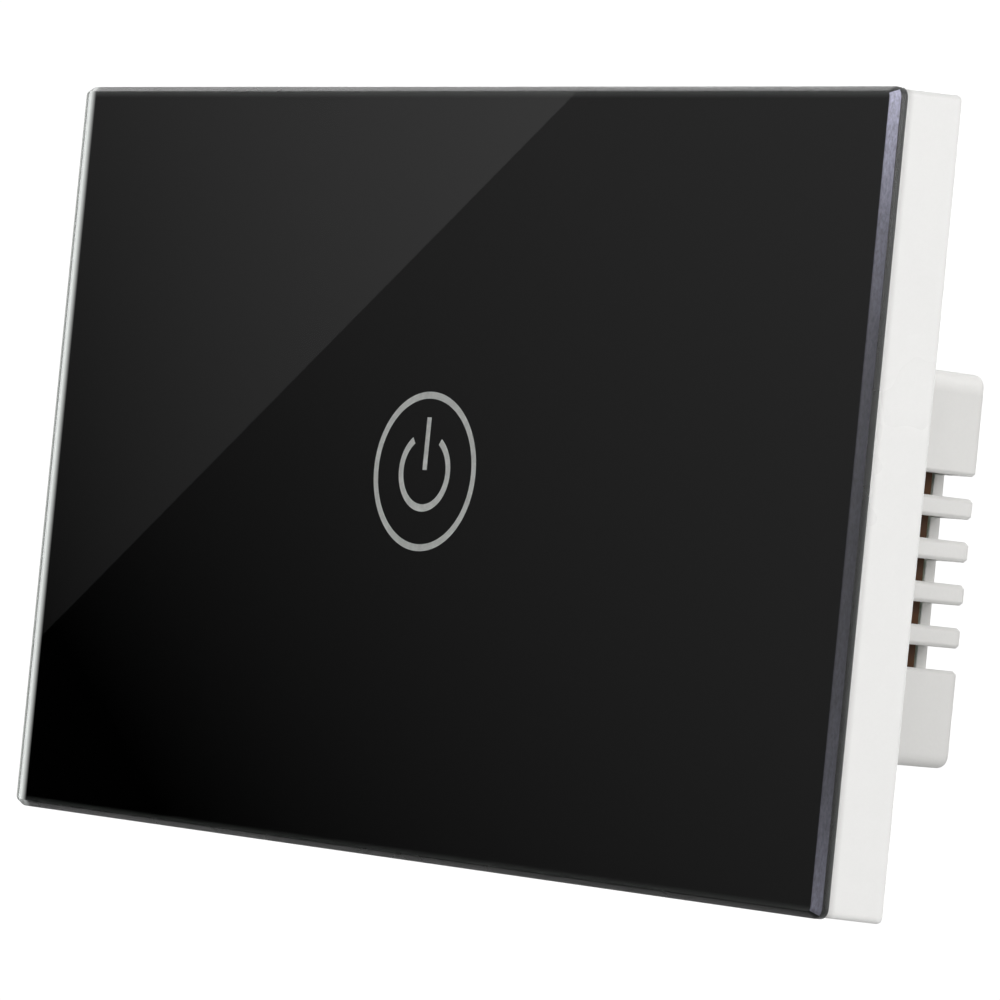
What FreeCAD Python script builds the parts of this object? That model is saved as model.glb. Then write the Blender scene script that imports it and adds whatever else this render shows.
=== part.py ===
import FreeCAD, Part
import math
import os

import Sketcher

# Touch light switch for a wall box: a glass panel on a white frame, clipped over a base.
# X runs across the panel, Y into the wall and Z up, in millimetres.
# The origin is the middle of the wall plane, where the two box screws are centred.

doc = FreeCAD.newDocument("touch_light_switch")
sheet = doc.addObject("Spreadsheet::Sheet", "Sizes")

DRIVING_SIZES = {
    # Glass panel
    "glass_width": 118.0,
    "glass_height": 72.0,
    "glass_thickness": 1.65,
    "glass_corner": 1.0,
    "bevel_width": 0.62,
    "bevel_depth": 0.88,
    "print_gap": 0.05,
    # White panel frame
    "frame_inset": 0.15,
    "frame_draft": 0.25,
    "frame_depth": 6.45,
    "frame_wall": 1.8,
    "frame_corner": 0.6,
    "frame_edge_round": 0.4,
    "web_thickness": 1.2,
    "web_width": 7.0,
    "window_corner": 2.0,
    "lip_width": 1.2,
    "pry_width": 10.0,
    "pry_depth": 1.4,
    "rib_thickness": 1.0,
    "rib_reach": 2.6,
    "rib_height": 2.2,
    "rib_pitch": 17.0,
    "rib_count": 7,
    # Tape and diffuser behind the glass
    "tape_thickness": 0.3,
    "tape_width": 4.4,
    "tape_clearance": 0.3,
    "diffuser_radius": 8.6,
    # Snap hooks that hold the frame on the yoke
    "hook_spacing": 60.0,
    "hook_width": 8.0,
    "hook_root": 1.8,
    "hook_tip": 1.4,
    "hook_catch": 0.8,
    "hook_clearance": 0.2,
    "hook_back_gap": 0.3,
    "hook_lead": 0.6,
    "hook_catch_gap": 0.05,
    # Steel yoke
    "yoke_inset": 7.05,
    "yoke_thickness": 1.2,
    "yoke_corner": 4.0,
    "service_margin_across": 1.0,
    "service_margin_up": 1.5,
    "service_corner": 2.0,
    "box_screw_spacing": 83.3,
    "box_slot_length": 7.0,
    "box_slot_radius": 2.1,
    # Rear housing
    "flange_overhang_across": 2.0,
    "flange_overhang_up": 3.0,
    "flange_thickness": 1.2,
    "flange_corner": 5.0,
    "notch_margin": 0.6,
    "notch_depth": 1.2,
    "box_width": 66.0,
    "box_height": 36.7,
    "box_depth": 31.35,
    "box_drop": 4.4,
    "side_wall": 1.6,
    "rear_wall": 1.25,
    "box_corner": 1.2,
    "rear_round": 0.7,
    "vent_gap": 2.1,
    "vent_pitch": 4.0,
    "vent_count": 5,
    "vent_drop": 0.2,
    "vent_reach": 5.05,
    "vent_start": 11.0,
    "vent_edge_break": 0.3,
    "boss_radius": 3.0,
    "boss_length": 9.0,
    "boss_inset": 2.8,
    "pilot_depth": 8.0,
    "flange_rib_thickness": 1.4,
    "flange_rib_reach": 9.0,
    "flange_rib_depth": 8.0,
    "flange_rib_spacing": 22.0,
    "board_post_radius": 2.0,
    "board_post_spacing_across": 58.0,
    "board_post_spacing_up": 27.0,
    "lug_width": 8.0,
    "side_lug_width": 2.0,
    "lug_reach": 1.0,
    "lug_depth": 1.6,
    "lug_gap": 0.1,
    # Power board in the back of the box
    "power_board_thickness": 1.6,
    "power_board_gap": 1.75,
    "power_board_clearance": 0.4,
    "board_notch_clearance": 0.5,
    "lead_thickness": 0.6,
    "lead_through": 0.8,
    "lead_start": 0.5,
    "lead_hole_clearance": 0.2,
    # Terminal block with three poles
    "terminal_count": 3,
    "pole_wall": 2.1,
    "block_end_wall": 1.8,
    "block_height": 11.4,
    "block_recess": 0.6,
    "block_base_recess": 0.3,
    "block_round": 0.6,
    "bay_clearance": 0.3,
    "bay_wall": 1.2,
    "block_floor": 1.5,
    "block_roof": 1.2,
    "well_clearance": 0.3,
    "well_depth": 4.0,
    "throat_clearance": 0.3,
    "throat_length": 1.0,
    "wire_hole_radius": 1.6,
    "clamp_travel": 2.5,
    "travel_clearance": 0.5,
    "cage_play": 0.3,
    "cage_wall": 0.9,
    "cage_front": 1.0,
    "cage_rear": 1.6,
    "cage_length": 6.4,
    "cage_round": 0.7,
    "cage_seat": 1.3,
    "wire_gap": 3.2,
    "cage_opening": 5.9,
    "thread_clearance": 0.05,
    "bar_thickness": 1.2,
    "bar_width": 4.4,
    "bar_play": 0.3,
    "bar_lead": 1.6,
    "leg_width": 2.4,
    "leg_rise": 4.0,
    "leg_through": 0.8,
    "slot_clearance": 0.1,
    "screw_radius": 1.5,
    "screw_head_radius": 2.5,
    "screw_head_height": 2.2,
    "screw_head_break": 0.4,
    "screw_slot_width": 0.8,
    "screw_slot_depth": 1.0,
    "screw_play": 0.05,
    # Touch board and its sheet
    "touch_board_width": 70.0,
    "touch_board_height": 45.0,
    "touch_board_thickness": 1.2,
    "touch_board_corner": 1.5,
    "sheet_thickness": 0.3,
    "sheet_margin": 1.0,
    "small_screw_radius": 1.0,
    "small_screw_head_radius": 1.9,
    "small_screw_head_height": 1.1,
    "small_screw_head_break": 0.5,
    "small_screw_length": 10.0,
    "small_screw_clearance": 0.2,
    # Touch spring
    "spring_radius": 4.6,
    "spring_wire": 0.4,
    "spring_turns": 2,
    "led_width": 3.5,
    "led_height": 2.8,
    "led_depth": 0.9,
    "led_lens_radius": 1.1,
    "led_lens_rise": 0.37,
    "chip_width": 4.9,
    "chip_height": 3.9,
    "chip_depth": 1.5,
    "chip_across": 13.0,
    "chip_up": -10.0,
    "chip_leg_width": 0.45,
    "chip_leg_reach": 1.0,
    "chip_leg_thickness": 0.3,
    "chip_leg_pitch": 1.27,
    "chip_legs": 4,
    # Radio module on the back of the touch board
    "module_width": 16.0,
    "module_height": 22.0,
    "module_thickness": 0.8,
    "module_gap": 0.4,
    "shield_width": 12.6,
    "shield_height": 13.0,
    "shield_depth": 2.4,
    "shield_wall": 0.25,
    "shield_shift": -3.6,
    "shield_corner": 0.8,
    # Link between the two boards
    "link_pitch": 2.0,
    "link_pins": 8,
    "link_rise": 1.85,
    "socket_depth": 8.5,
    "socket_thickness": 2.6,
    "socket_slot": 1.1,
    "socket_slot_depth": 6.5,
    "socket_end": 1.6,
    "pin_thickness": 0.64,
    "pin_engagement": 5.0,
    "pin_through": 1.0,
    "spacer_depth": 2.5,
    "spacer_lift": 7.0,
    # Relay
    "relay_length": 19.0,
    "relay_width": 15.4,
    "relay_height": 15.3,
    "relay_wall": 0.8,
    "relay_round": 0.9,
    "relay_margin": 1.5,
    "relay_up": 2.4,
    "relay_base_thickness": 1.6,
    "relay_base_clearance": 0.05,
    "coil_across": -1.0,
    "hub_radius": 2.5,
    "bobbin_radius": 4.9,
    "bobbin_flange": 0.6,
    "bobbin_length": 9.0,
    "winding_radius": 4.4,
    "coil_lift": 0.8,
    "core_radius": 1.9,
    "pole_radius": 3.2,
    "pole_thickness": 0.7,
    "yoke_arm_thickness": 0.8,
    "yoke_arm_width": 7.0,
    "yoke_arm_across": -7.6,
    "armature_thickness": 0.9,
    "armature_length": 10.8,
    "armature_open_angle": 4.0,
    "armature_rest_gap": 0.15,
    "blade_thickness": 0.25,
    "blade_width": 4.0,
    "blade_overlap": 4.0,
    "blade_length": 4.4,
    "contact_radius": 1.3,
    "contact_height": 0.4,
    "contact_gap": 0.2,
    "post_thickness": 0.6,
    "post_width": 4.4,
    "post_reach": 1.9,
    "coil_lead_across": -3.0,
    "coil_lead_up": 5.8,
    "common_lead_across": -7.2,
    "contact_lead_across": 7.9,
    # Other parts on the power board
    "transformer_gap": 1.5,
    "transformer_up": 2.4,
    "core_width": 13.0,
    "core_height": 12.0,
    "core_thickness": 5.0,
    "core_leg": 2.6,
    "core_bar": 2.6,
    "core_centre_leg": 2.7,
    "core_lift": 1.4,
    "winding_gap": 0.1,
    "winding_length": 10.0,
    "winding_round": 1.0,
    "bobbin_base_width": 12.0,
    "bobbin_base_height": 12.0,
    "transformer_row_spacing": 10.0,
    "transformer_lead_pitch": 3.0,
    "transformer_leads": 4,
    "capacitor_radius": 4.0,
    "capacitor_height": 12.0,
    "capacitor_margin": 5.0,
    "capacitor_up": 6.6,
    "capacitor_gap": 1.2,
    "capacitor_lead_pitch": 3.5,
    "capacitor_round": 0.8,
    "crimp_depth": 0.35,
    "crimp_height": 1.4,
    "film_width": 10.4,
    "film_thickness": 5.0,
    "film_height": 10.6,
    "film_gap": 1.3,
    "film_lead_pitch": 7.5,
    "film_up": 8.2,
    "film_round": 0.5,
    "varistor_radius": 3.6,
    "varistor_thickness": 3.4,
    "varistor_gap": 1.8,
    "varistor_lead_pitch": 5.0,
    "varistor_up": 1.4,
    "varistor_lift": 0.4,
    "varistor_round": 0.9,
    "fuse_radius": 1.7,
    "fuse_length": 9.5,
    "fuse_up": -9.6,
    "fuse_lift": 0.3,
    "fuse_cap_radius": 2.0,
    "fuse_cap_length": 1.6,
    "choke_radius": 3.6,
    "choke_core_radius": 2.9,
    "choke_height": 8.0,
    "choke_flange": 0.9,
    "choke_margin": 2.25,
    "choke_lead_pitch": 5.0,
    "choke_up": -16.0,
    "rectifier_width": 8.2,
    "rectifier_height": 6.4,
    "rectifier_depth": 2.6,
    "rectifier_margin": 1.3,
    "rectifier_lead_spacing_across": 5.1,
    "rectifier_lead_spacing_up": 4.4,
    "rectifier_up": -15.0,
}


class Length:
    """A size with its formula in the sheet and its present amount."""

    def __init__(self, formula, amount):
        self.formula = formula
        self.amount = amount

    def joined(self, sign, other, amount):
        return Length(f"({self.formula} {sign} {other.formula})", amount)

    def __add__(self, other):
        other = as_length(other)
        return self.joined("+", other, self.amount + other.amount)

    def __sub__(self, other):
        other = as_length(other)
        return self.joined("-", other, self.amount - other.amount)

    def __mul__(self, other):
        other = as_length(other)
        return self.joined("*", other, self.amount * other.amount)

    def __truediv__(self, other):
        other = as_length(other)
        return self.joined("/", other, self.amount / other.amount)

    def __neg__(self):
        return Length(f"(-1 * {self.formula})", -self.amount)


def as_length(thing):
    if isinstance(thing, Length):
        return thing
    return Length(str(thing), float(thing))


class Sizes:
    """The driving sizes by name, each one bound to its cell."""


def fill_sheet():
    for row, (name, amount) in enumerate(DRIVING_SIZES.items(), start=1):
        sheet.set(f"A{row}", name.replace("_", " "))
        sheet.set(f"B{row}", str(amount))
        sheet.setAlias(f"B{row}", name)
        setattr(Sizes, name, Length(f"Sizes.{name}", float(amount)))
    doc.recompute()


fill_sheet()
ZERO = as_length(0)
CUT_MARGIN = as_length(1)
PAIR = as_length(2)
# Edges count as touching a level when they are nearer to it than this
HAIR = 0.01


# Drawing helpers

def bind(thing, setting, length):
    thing.setExpression(setting, as_length(length).formula)


def origin_part(body, role):
    return next(part for part in body.Origin.OriginFeatures if part.Role == role)


def new_body(label):
    body = doc.addObject("PartDesign::Body", label)
    body.Label = label
    return body


def tie(sketch, geometry, corner, point):
    """Hold one point of a sketch at its distances from the origin."""
    for kind, other_axis, length in (("DistanceX", -2, point[0]), ("DistanceY", -1, point[1])):
        length = as_length(length)
        if length.formula == "0":
            sketch.addConstraint(Sketcher.Constraint("PointOnObject", geometry, corner, other_axis))
            continue
        index = sketch.addConstraint(
            Sketcher.Constraint(kind, -1, 1, geometry, corner, length.amount))
        bind(sketch, f"Constraints[{index}]", length)


def set_radius(sketch, geometry, radius):
    radius = as_length(radius)
    index = sketch.addConstraint(Sketcher.Constraint("Radius", geometry, radius.amount))
    bind(sketch, f"Constraints[{index}]", radius)


def polygon(*points):
    """A closed outline of straight lines through the points."""
    points = [(as_length(across), as_length(up)) for across, up in points]

    def draw(sketch):
        first = sketch.GeometryCount
        count = len(points)
        corners = [FreeCAD.Vector(across.amount, up.amount, 0) for across, up in points]
        for place in range(count):
            line = Part.LineSegment(corners[place], corners[(place + 1) % count])
            sketch.addGeometry(line, False)
        for place in range(count):
            following = first + (place + 1) % count
            sketch.addConstraint(Sketcher.Constraint("Coincident", first + place, 2, following, 1))
        for place, point in enumerate(points):
            tie(sketch, first + place, 1, point)
    return draw


def rectangle(left, right, low, high):
    return polygon((left, low), (right, low), (right, high), (left, high))


def centred(across, up, width, height):
    across = as_length(across)
    up = as_length(up)
    return rectangle(across - width / 2, across + width / 2, up - height / 2, up + height / 2)


def circle(across, up, radius):
    across, up, radius = as_length(across), as_length(up), as_length(radius)

    def draw(sketch):
        index = sketch.GeometryCount
        middle = FreeCAD.Vector(across.amount, up.amount, 0)
        sketch.addGeometry(Part.Circle(middle, FreeCAD.Vector(0, 0, 1), radius.amount), False)
        tie(sketch, index, 3, (across, up))
        set_radius(sketch, index, radius)
    return draw


def stadium(across, up, length, radius):
    """A slot outline with half round ends, lying across."""
    across, up, radius = as_length(across), as_length(up), as_length(radius)
    reach = length / 2 - radius

    def draw(sketch):
        first = sketch.GeometryCount
        left, right = (across - reach).amount, (across + reach).amount
        high, low = (up + radius).amount, (up - radius).amount
        toward_viewer = FreeCAD.Vector(0, 0, 1)
        quarter = math.pi / 2
        for side, start in ((right, -quarter), (left, quarter)):
            ring = Part.Circle(FreeCAD.Vector(side, up.amount, 0), toward_viewer, radius.amount)
            sketch.addGeometry(Part.ArcOfCircle(ring, start, start + math.pi), False)
        for level in (high, low):
            line = Part.LineSegment(FreeCAD.Vector(left, level, 0), FreeCAD.Vector(right, level, 0))
            sketch.addGeometry(line, False)
        right_arc, left_arc, top, bottom = range(first, first + 4)
        for line, end, arc, arc_end in (
                (top, 2, right_arc, 2), (bottom, 2, right_arc, 1),
                (top, 1, left_arc, 1), (bottom, 1, left_arc, 2)):
            sketch.addConstraint(Sketcher.Constraint("Tangent", line, end, arc, arc_end))
        tie(sketch, right_arc, 3, (across + reach, up))
        tie(sketch, left_arc, 3, (across - reach, up))
        set_radius(sketch, right_arc, radius)
        set_radius(sketch, left_arc, radius)
    return draw


def draw_sketch(body, name, plane, level, shapes):
    """A sketch on one of the body's own planes, at a level along that plane's axis."""
    sketch = body.newObject("Sketcher::SketchObject", name)
    sketch.AttachmentSupport = (origin_part(body, plane), "")
    sketch.MapMode = "FlatFace"
    level = as_length(level)
    offset = -level if plane == "XZ_Plane" else level
    bind(sketch, ".AttachmentOffset.Base.z", offset)
    for draw in shapes:
        draw(sketch)
    return sketch


def prism(body, kind, name, plane, start, stop, shapes):
    """A pad or pocket that fills start to stop along the plane's axis."""
    start, stop = as_length(start), as_length(stop)
    level = stop if plane == "XZ_Plane" else start
    sketch = draw_sketch(body, name + "_sketch", plane, level, shapes)
    feature = body.newObject(kind, name)
    feature.Profile = sketch
    bind(feature, "Length", stop - start)
    feature.Reversed = kind == "PartDesign::Pocket"
    body.Tip = feature
    return feature


def grow(body, name, plane, start, stop, *shapes):
    return prism(body, "PartDesign::Pad", name, plane, start, stop, shapes)


def cut(body, name, plane, start, stop, *shapes):
    return prism(body, "PartDesign::Pocket", name, plane, start, stop, shapes)


def turn(body, name, kind, plane, axis, *shapes):
    """A revolution or groove of a sketch about one of the body's own axes."""
    sketch = draw_sketch(body, name + "_sketch", plane, ZERO, shapes)
    feature = body.newObject("PartDesign::" + kind, name)
    feature.Profile = sketch
    feature.ReferenceAxis = (origin_part(body, axis), [""])
    feature.Angle = 360
    body.Tip = feature
    return feature


def repeat(body, name, features, axis, extent, count):
    """Copies of the features, spread evenly over an extent along one axis."""
    pattern = body.newObject("PartDesign::LinearPattern", name)
    pattern.Originals = features
    pattern.Direction = (origin_part(body, axis), [""])
    bind(pattern, "Length", extent)
    bind(pattern, "Occurrences", count)
    body.Tip = pattern
    return pattern


def runs_along(edge, axis):
    """True for a straight edge that lies along one axis."""
    box = edge.BoundBox
    spans = {"x": box.XLength, "y": box.YLength, "z": box.ZLength}
    own = spans.pop(axis)
    return own > HAIR and all(span < HAIR for span in spans.values())


def flat_along_y(edge):
    return edge.BoundBox.YLength < HAIR


def near(first, second):
    return abs(first - as_length(second).amount) < HAIR


def soften(body, name, kind, size, wanted):
    """A fillet or chamfer on the edges of the body that answer a question."""
    doc.recompute()
    base = body.Tip
    edges = enumerate(base.Shape.Edges, start=1)
    chosen = [f"Edge{number}" for number, edge in edges if wanted(edge)]
    if not chosen:
        raise RuntimeError(f"{body.Label}: no edge found for {name}")
    feature = body.newObject("PartDesign::" + kind, name)
    feature.Base = (base, chosen)
    bind(feature, "Radius" if kind == "Fillet" else "Size", size)
    body.Tip = feature
    return feature


def place(thing, across=ZERO, depth=ZERO, up=ZERO):
    bind(thing, "Placement.Base.x", across)
    bind(thing, "Placement.Base.y", depth)
    bind(thing, "Placement.Base.z", up)
    return thing


# Levels and widths that the pieces share

GLASS_BACK = -(Sizes.frame_depth + Sizes.print_gap)
GLASS_FRONT = GLASS_BACK - Sizes.glass_thickness
FRAME_FRONT = -Sizes.frame_depth
WEB_FRONT = FRAME_FRONT + Sizes.tape_thickness
WEB_BACK = WEB_FRONT + Sizes.web_thickness
YOKE_BACK = -Sizes.flange_thickness
YOKE_FRONT = YOKE_BACK - Sizes.yoke_thickness
SHEET_FRONT = YOKE_FRONT - Sizes.sheet_thickness
TOUCH_FRONT = SHEET_FRONT - Sizes.touch_board_thickness
REAR_INSIDE = Sizes.box_depth - Sizes.rear_wall
POWER_BACK = REAR_INSIDE - Sizes.power_board_gap
POWER_FRONT = POWER_BACK - Sizes.power_board_thickness

FRAME_WIDTH = Sizes.glass_width - Sizes.frame_inset * 2
FRAME_HEIGHT = Sizes.glass_height - Sizes.frame_inset * 2
FRAME_INSIDE_WIDTH = FRAME_WIDTH - Sizes.frame_wall * 2
FRAME_INSIDE_HEIGHT = FRAME_HEIGHT - Sizes.frame_wall * 2
WINDOW_WIDTH = FRAME_INSIDE_WIDTH - Sizes.web_width * 2
WINDOW_HEIGHT = FRAME_INSIDE_HEIGHT - Sizes.web_width * 2
YOKE_WIDTH = FRAME_INSIDE_WIDTH - Sizes.yoke_inset * 2
YOKE_HEIGHT = FRAME_INSIDE_HEIGHT - Sizes.yoke_inset * 2
FLANGE_WIDTH = YOKE_WIDTH + Sizes.flange_overhang_across * 2
FLANGE_HEIGHT = YOKE_HEIGHT + Sizes.flange_overhang_up * 2

BOX_MIDDLE = -Sizes.box_drop
BOX_RIGHT = Sizes.box_width / 2
BOX_TOP = BOX_MIDDLE + Sizes.box_height / 2
BOX_BOTTOM = BOX_MIDDLE - Sizes.box_height / 2
INSIDE_RIGHT = BOX_RIGHT - Sizes.side_wall
INSIDE_TOP = BOX_TOP - Sizes.side_wall
INSIDE_BOTTOM = BOX_BOTTOM + Sizes.side_wall
BOSS_ACROSS = INSIDE_RIGHT - Sizes.boss_inset
BOSS_RISE = Sizes.box_height / 2 - Sizes.side_wall - Sizes.boss_inset

CAGE_WIDTH = Sizes.bar_width + (Sizes.bar_play + Sizes.cage_wall) * 2
CAVITY_WIDTH = CAGE_WIDTH + Sizes.cage_play * 2
TERMINAL_PITCH = CAVITY_WIDTH + Sizes.pole_wall
ROW_EXTENT = TERMINAL_PITCH * (Sizes.terminal_count - 1)
BLOCK_WIDTH = TERMINAL_PITCH * Sizes.terminal_count + Sizes.block_end_wall
CAGE_DEPTH = Sizes.cage_front + Sizes.cage_opening + Sizes.cage_rear
CAVITY_DEPTH = Sizes.cage_seat + CAGE_DEPTH + Sizes.clamp_travel + Sizes.travel_clearance
BLOCK_DEPTH = CAVITY_DEPTH + Sizes.throat_length + Sizes.well_depth
BLOCK_REAR = Sizes.box_depth - Sizes.block_recess
BLOCK_FRONT = BLOCK_REAR - BLOCK_DEPTH
BLOCK_BOTTOM = BOX_BOTTOM + Sizes.block_base_recess
BLOCK_TOP = BLOCK_BOTTOM + Sizes.block_height
BAY_WIDTH = BLOCK_WIDTH + Sizes.bay_clearance * 2
BAY_TOP = BLOCK_TOP + Sizes.bay_clearance
NOTCH_RIGHT = BAY_WIDTH / 2 + Sizes.bay_wall + Sizes.board_notch_clearance
CAVITY_BOTTOM = BLOCK_BOTTOM + Sizes.block_floor
CAVITY_TOP = BLOCK_TOP - Sizes.block_roof
CAVITY_MIDDLE = (CAVITY_BOTTOM + CAVITY_TOP) / 2
WELL_BOTTOM = BLOCK_REAR - Sizes.well_depth
CAVITY_REAR = WELL_BOTTOM - Sizes.throat_length
CAGE_FRONT = BLOCK_FRONT + Sizes.cage_seat
CAGE_INSIDE_FRONT = CAGE_FRONT + Sizes.cage_front
CAGE_INSIDE_REAR = CAGE_INSIDE_FRONT + Sizes.cage_opening
CAGE_REAR = CAGE_INSIDE_REAR + Sizes.cage_rear
BAR_FRONT = CAGE_INSIDE_FRONT + Sizes.wire_gap
BAR_REAR = BAR_FRONT + Sizes.bar_thickness
WIRE_MIDDLE = CAGE_INSIDE_FRONT + Sizes.wire_gap / 2
LEG_TOP = BLOCK_TOP + Sizes.leg_rise
LEG_BOTTOM = LEG_TOP - Sizes.bar_thickness

LINK_EXTENT = Sizes.link_pitch * (Sizes.link_pins - 1)
LINK_UP = LEG_TOP + Sizes.link_rise
SOCKET_WIDTH = LINK_EXTENT + Sizes.socket_end * 2
MODULE_LEFT = -(SOCKET_WIDTH / 2 + Sizes.module_gap + Sizes.module_width)
SERVICE_WIDTH = (Sizes.service_margin_across - MODULE_LEFT) * 2
SERVICE_HEIGHT = Sizes.module_height + Sizes.service_margin_up * 2

# Row of tall parts on the power board, from the left wall of the box to the right one

RELAY_ACROSS = Sizes.relay_margin + Sizes.relay_length / 2 - INSIDE_RIGHT
RELAY_RIGHT = RELAY_ACROSS + Sizes.relay_length / 2
FILM_ACROSS = RELAY_RIGHT + Sizes.film_gap + Sizes.film_width / 2
VARISTOR_ACROSS = RELAY_RIGHT + Sizes.varistor_gap + Sizes.varistor_thickness / 2
FILM_RIGHT = FILM_ACROSS + Sizes.film_width / 2
TRANSFORMER_ACROSS = FILM_RIGHT + Sizes.transformer_gap + Sizes.core_width / 2
CAPACITOR_ACROSS = INSIDE_RIGHT - Sizes.capacitor_margin - Sizes.capacitor_radius
CAPACITOR_SPACING = Sizes.capacitor_radius * 2 + Sizes.capacitor_gap
CHOKE_ACROSS = -(NOTCH_RIGHT + Sizes.choke_margin + Sizes.choke_radius)
RECTIFIER_ACROSS = NOTCH_RIGHT + Sizes.rectifier_margin + Sizes.rectifier_width / 2


# Glass panel: float glass, cut with round corners and ground to a bevel all round the front

def glass_panel():
    body = new_body("glass_panel")
    grow(body, "sheet", "XZ_Plane", GLASS_FRONT, GLASS_BACK,
         centred(0, 0, Sizes.glass_width, Sizes.glass_height))
    soften(body, "corners", "Fillet", Sizes.glass_corner, lambda edge: runs_along(edge, "y"))
    front = GLASS_FRONT.amount
    bevel = soften(body, "bevel", "Chamfer", Sizes.bevel_width,
                   lambda edge: flat_along_y(edge) and near(edge.BoundBox.YMin, front))
    bevel.ChamferType = "Two distances"
    bind(bevel, "Size2", Sizes.bevel_depth)
    return body


# Panel frame: white moulded rim with a web that the glass is taped to

def panel_frame():
    body = new_body("panel_frame")
    spread = Sizes.frame_draft * 2
    rim = grow(body, "rim", "XZ_Plane", FRAME_FRONT, ZERO,
               centred(0, 0, FRAME_WIDTH + spread, FRAME_HEIGHT + spread))
    rim.setExpression("TaperAngle", "-atan(Sizes.frame_draft / Sizes.frame_depth)")
    soften(body, "corners", "Fillet", Sizes.frame_corner, lambda edge: not flat_along_y(edge))
    soften(body, "outer_edges", "Fillet", Sizes.frame_edge_round, flat_along_y)
    cut(body, "hollow", "XZ_Plane", WEB_BACK, CUT_MARGIN,
        centred(0, 0, FRAME_INSIDE_WIDTH, FRAME_INSIDE_HEIGHT))
    cut(body, "window", "XZ_Plane", FRAME_FRONT - CUT_MARGIN, WEB_BACK,
        centred(0, 0, WINDOW_WIDTH, WINDOW_HEIGHT))
    soften(body, "window_corners", "Fillet", Sizes.window_corner,
           lambda edge: runs_along(edge, "y") and near(abs(edge.BoundBox.XMin), WINDOW_WIDTH / 2))
    cut(body, "tape_recess", "XZ_Plane", FRAME_FRONT - CUT_MARGIN, WEB_FRONT,
        centred(0, 0, FRAME_WIDTH - Sizes.lip_width * 2, FRAME_HEIGHT - Sizes.lip_width * 2))
    rim_inside = FRAME_INSIDE_HEIGHT / 2
    rib = grow(body, "rib", "YZ_Plane", -Sizes.rib_thickness / 2, Sizes.rib_thickness / 2,
               polygon((WEB_BACK, rim_inside), (WEB_BACK, rim_inside - Sizes.rib_reach),
                       (WEB_BACK + Sizes.rib_height, rim_inside)),
               polygon((WEB_BACK, -rim_inside), (WEB_BACK, -rim_inside + Sizes.rib_reach),
                       (WEB_BACK + Sizes.rib_height, -rim_inside)))
    spread = Sizes.rib_pitch * (Sizes.rib_count - 1) / 2
    bind(rib.Profile[0], ".AttachmentOffset.Base.z", -spread - Sizes.rib_thickness / 2)
    repeat(body, "ribs", [rib], "X_Axis", spread * 2, Sizes.rib_count)
    cut(body, "pry_notch", "XZ_Plane", -Sizes.pry_depth, CUT_MARGIN,
        rectangle(-Sizes.pry_width / 2, Sizes.pry_width / 2,
                  -FRAME_HEIGHT / 2 - CUT_MARGIN, -FRAME_INSIDE_HEIGHT / 2 + CUT_MARGIN))
    return body


# Adhesive tape: a closed foam strip in the recess of the web

def adhesive_tape():
    body = new_body("adhesive_tape")
    width = FRAME_WIDTH - (Sizes.lip_width + Sizes.tape_clearance) * 2
    height = FRAME_HEIGHT - (Sizes.lip_width + Sizes.tape_clearance) * 2
    grow(body, "strip", "XZ_Plane", FRAME_FRONT, WEB_FRONT,
         centred(0, 0, width, height),
         centred(0, 0, width - Sizes.tape_width * 2, height - Sizes.tape_width * 2))
    return body


# Diffuser: a milky film disc stuck behind the clear ring and sign

def diffuser_disc():
    body = new_body("diffuser_disc")
    grow(body, "disc", "XZ_Plane", FRAME_FRONT, WEB_FRONT, circle(0, 0, Sizes.diffuser_radius))
    return body


# Snap hooks: four springy arms of the frame that catch behind the yoke's long edges

def snap_hooks():
    body = new_body("snap_hooks")
    edge = YOKE_HEIGHT / 2
    inner = edge + Sizes.hook_clearance
    catch_front = YOKE_BACK + Sizes.hook_catch_gap
    tip = -Sizes.hook_back_gap
    half = [
        (WEB_BACK, inner),
        (catch_front, inner),
        (catch_front, edge - Sizes.hook_catch),
        (catch_front + Sizes.hook_lead / 2, edge - Sizes.hook_catch),
        (tip, inner - Sizes.hook_clearance / 2),
        (tip, inner + Sizes.hook_tip),
        (WEB_BACK, inner + Sizes.hook_root),
    ]
    other = [(depth, -up) for depth, up in half]
    start = -(Sizes.hook_spacing + Sizes.hook_width) / 2
    hook = grow(body, "hook", "YZ_Plane", start, start + Sizes.hook_width,
                polygon(*half), polygon(*other))
    repeat(body, "hooks", [hook], "X_Axis", Sizes.hook_spacing, PAIR)
    return body


# Mounting yoke: zinc plated steel plate that the box screws pull against the wall

def box_screw_slots():
    return [stadium(Sizes.box_screw_spacing / side, 0, Sizes.box_slot_length, Sizes.box_slot_radius)
            for side in (2, -2)]


def board_screw_holes(radius):
    return [circle(BOSS_ACROSS * side, BOX_MIDDLE + BOSS_RISE * level, radius)
            for side in (-1, 1) for level in (-1, 1)]


def service_opening():
    return centred(0, BOX_MIDDLE, SERVICE_WIDTH, SERVICE_HEIGHT)


def service_corner_edge(edge):
    return runs_along(edge, "y") and near(abs(edge.BoundBox.XMin), SERVICE_WIDTH / 2)


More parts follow.
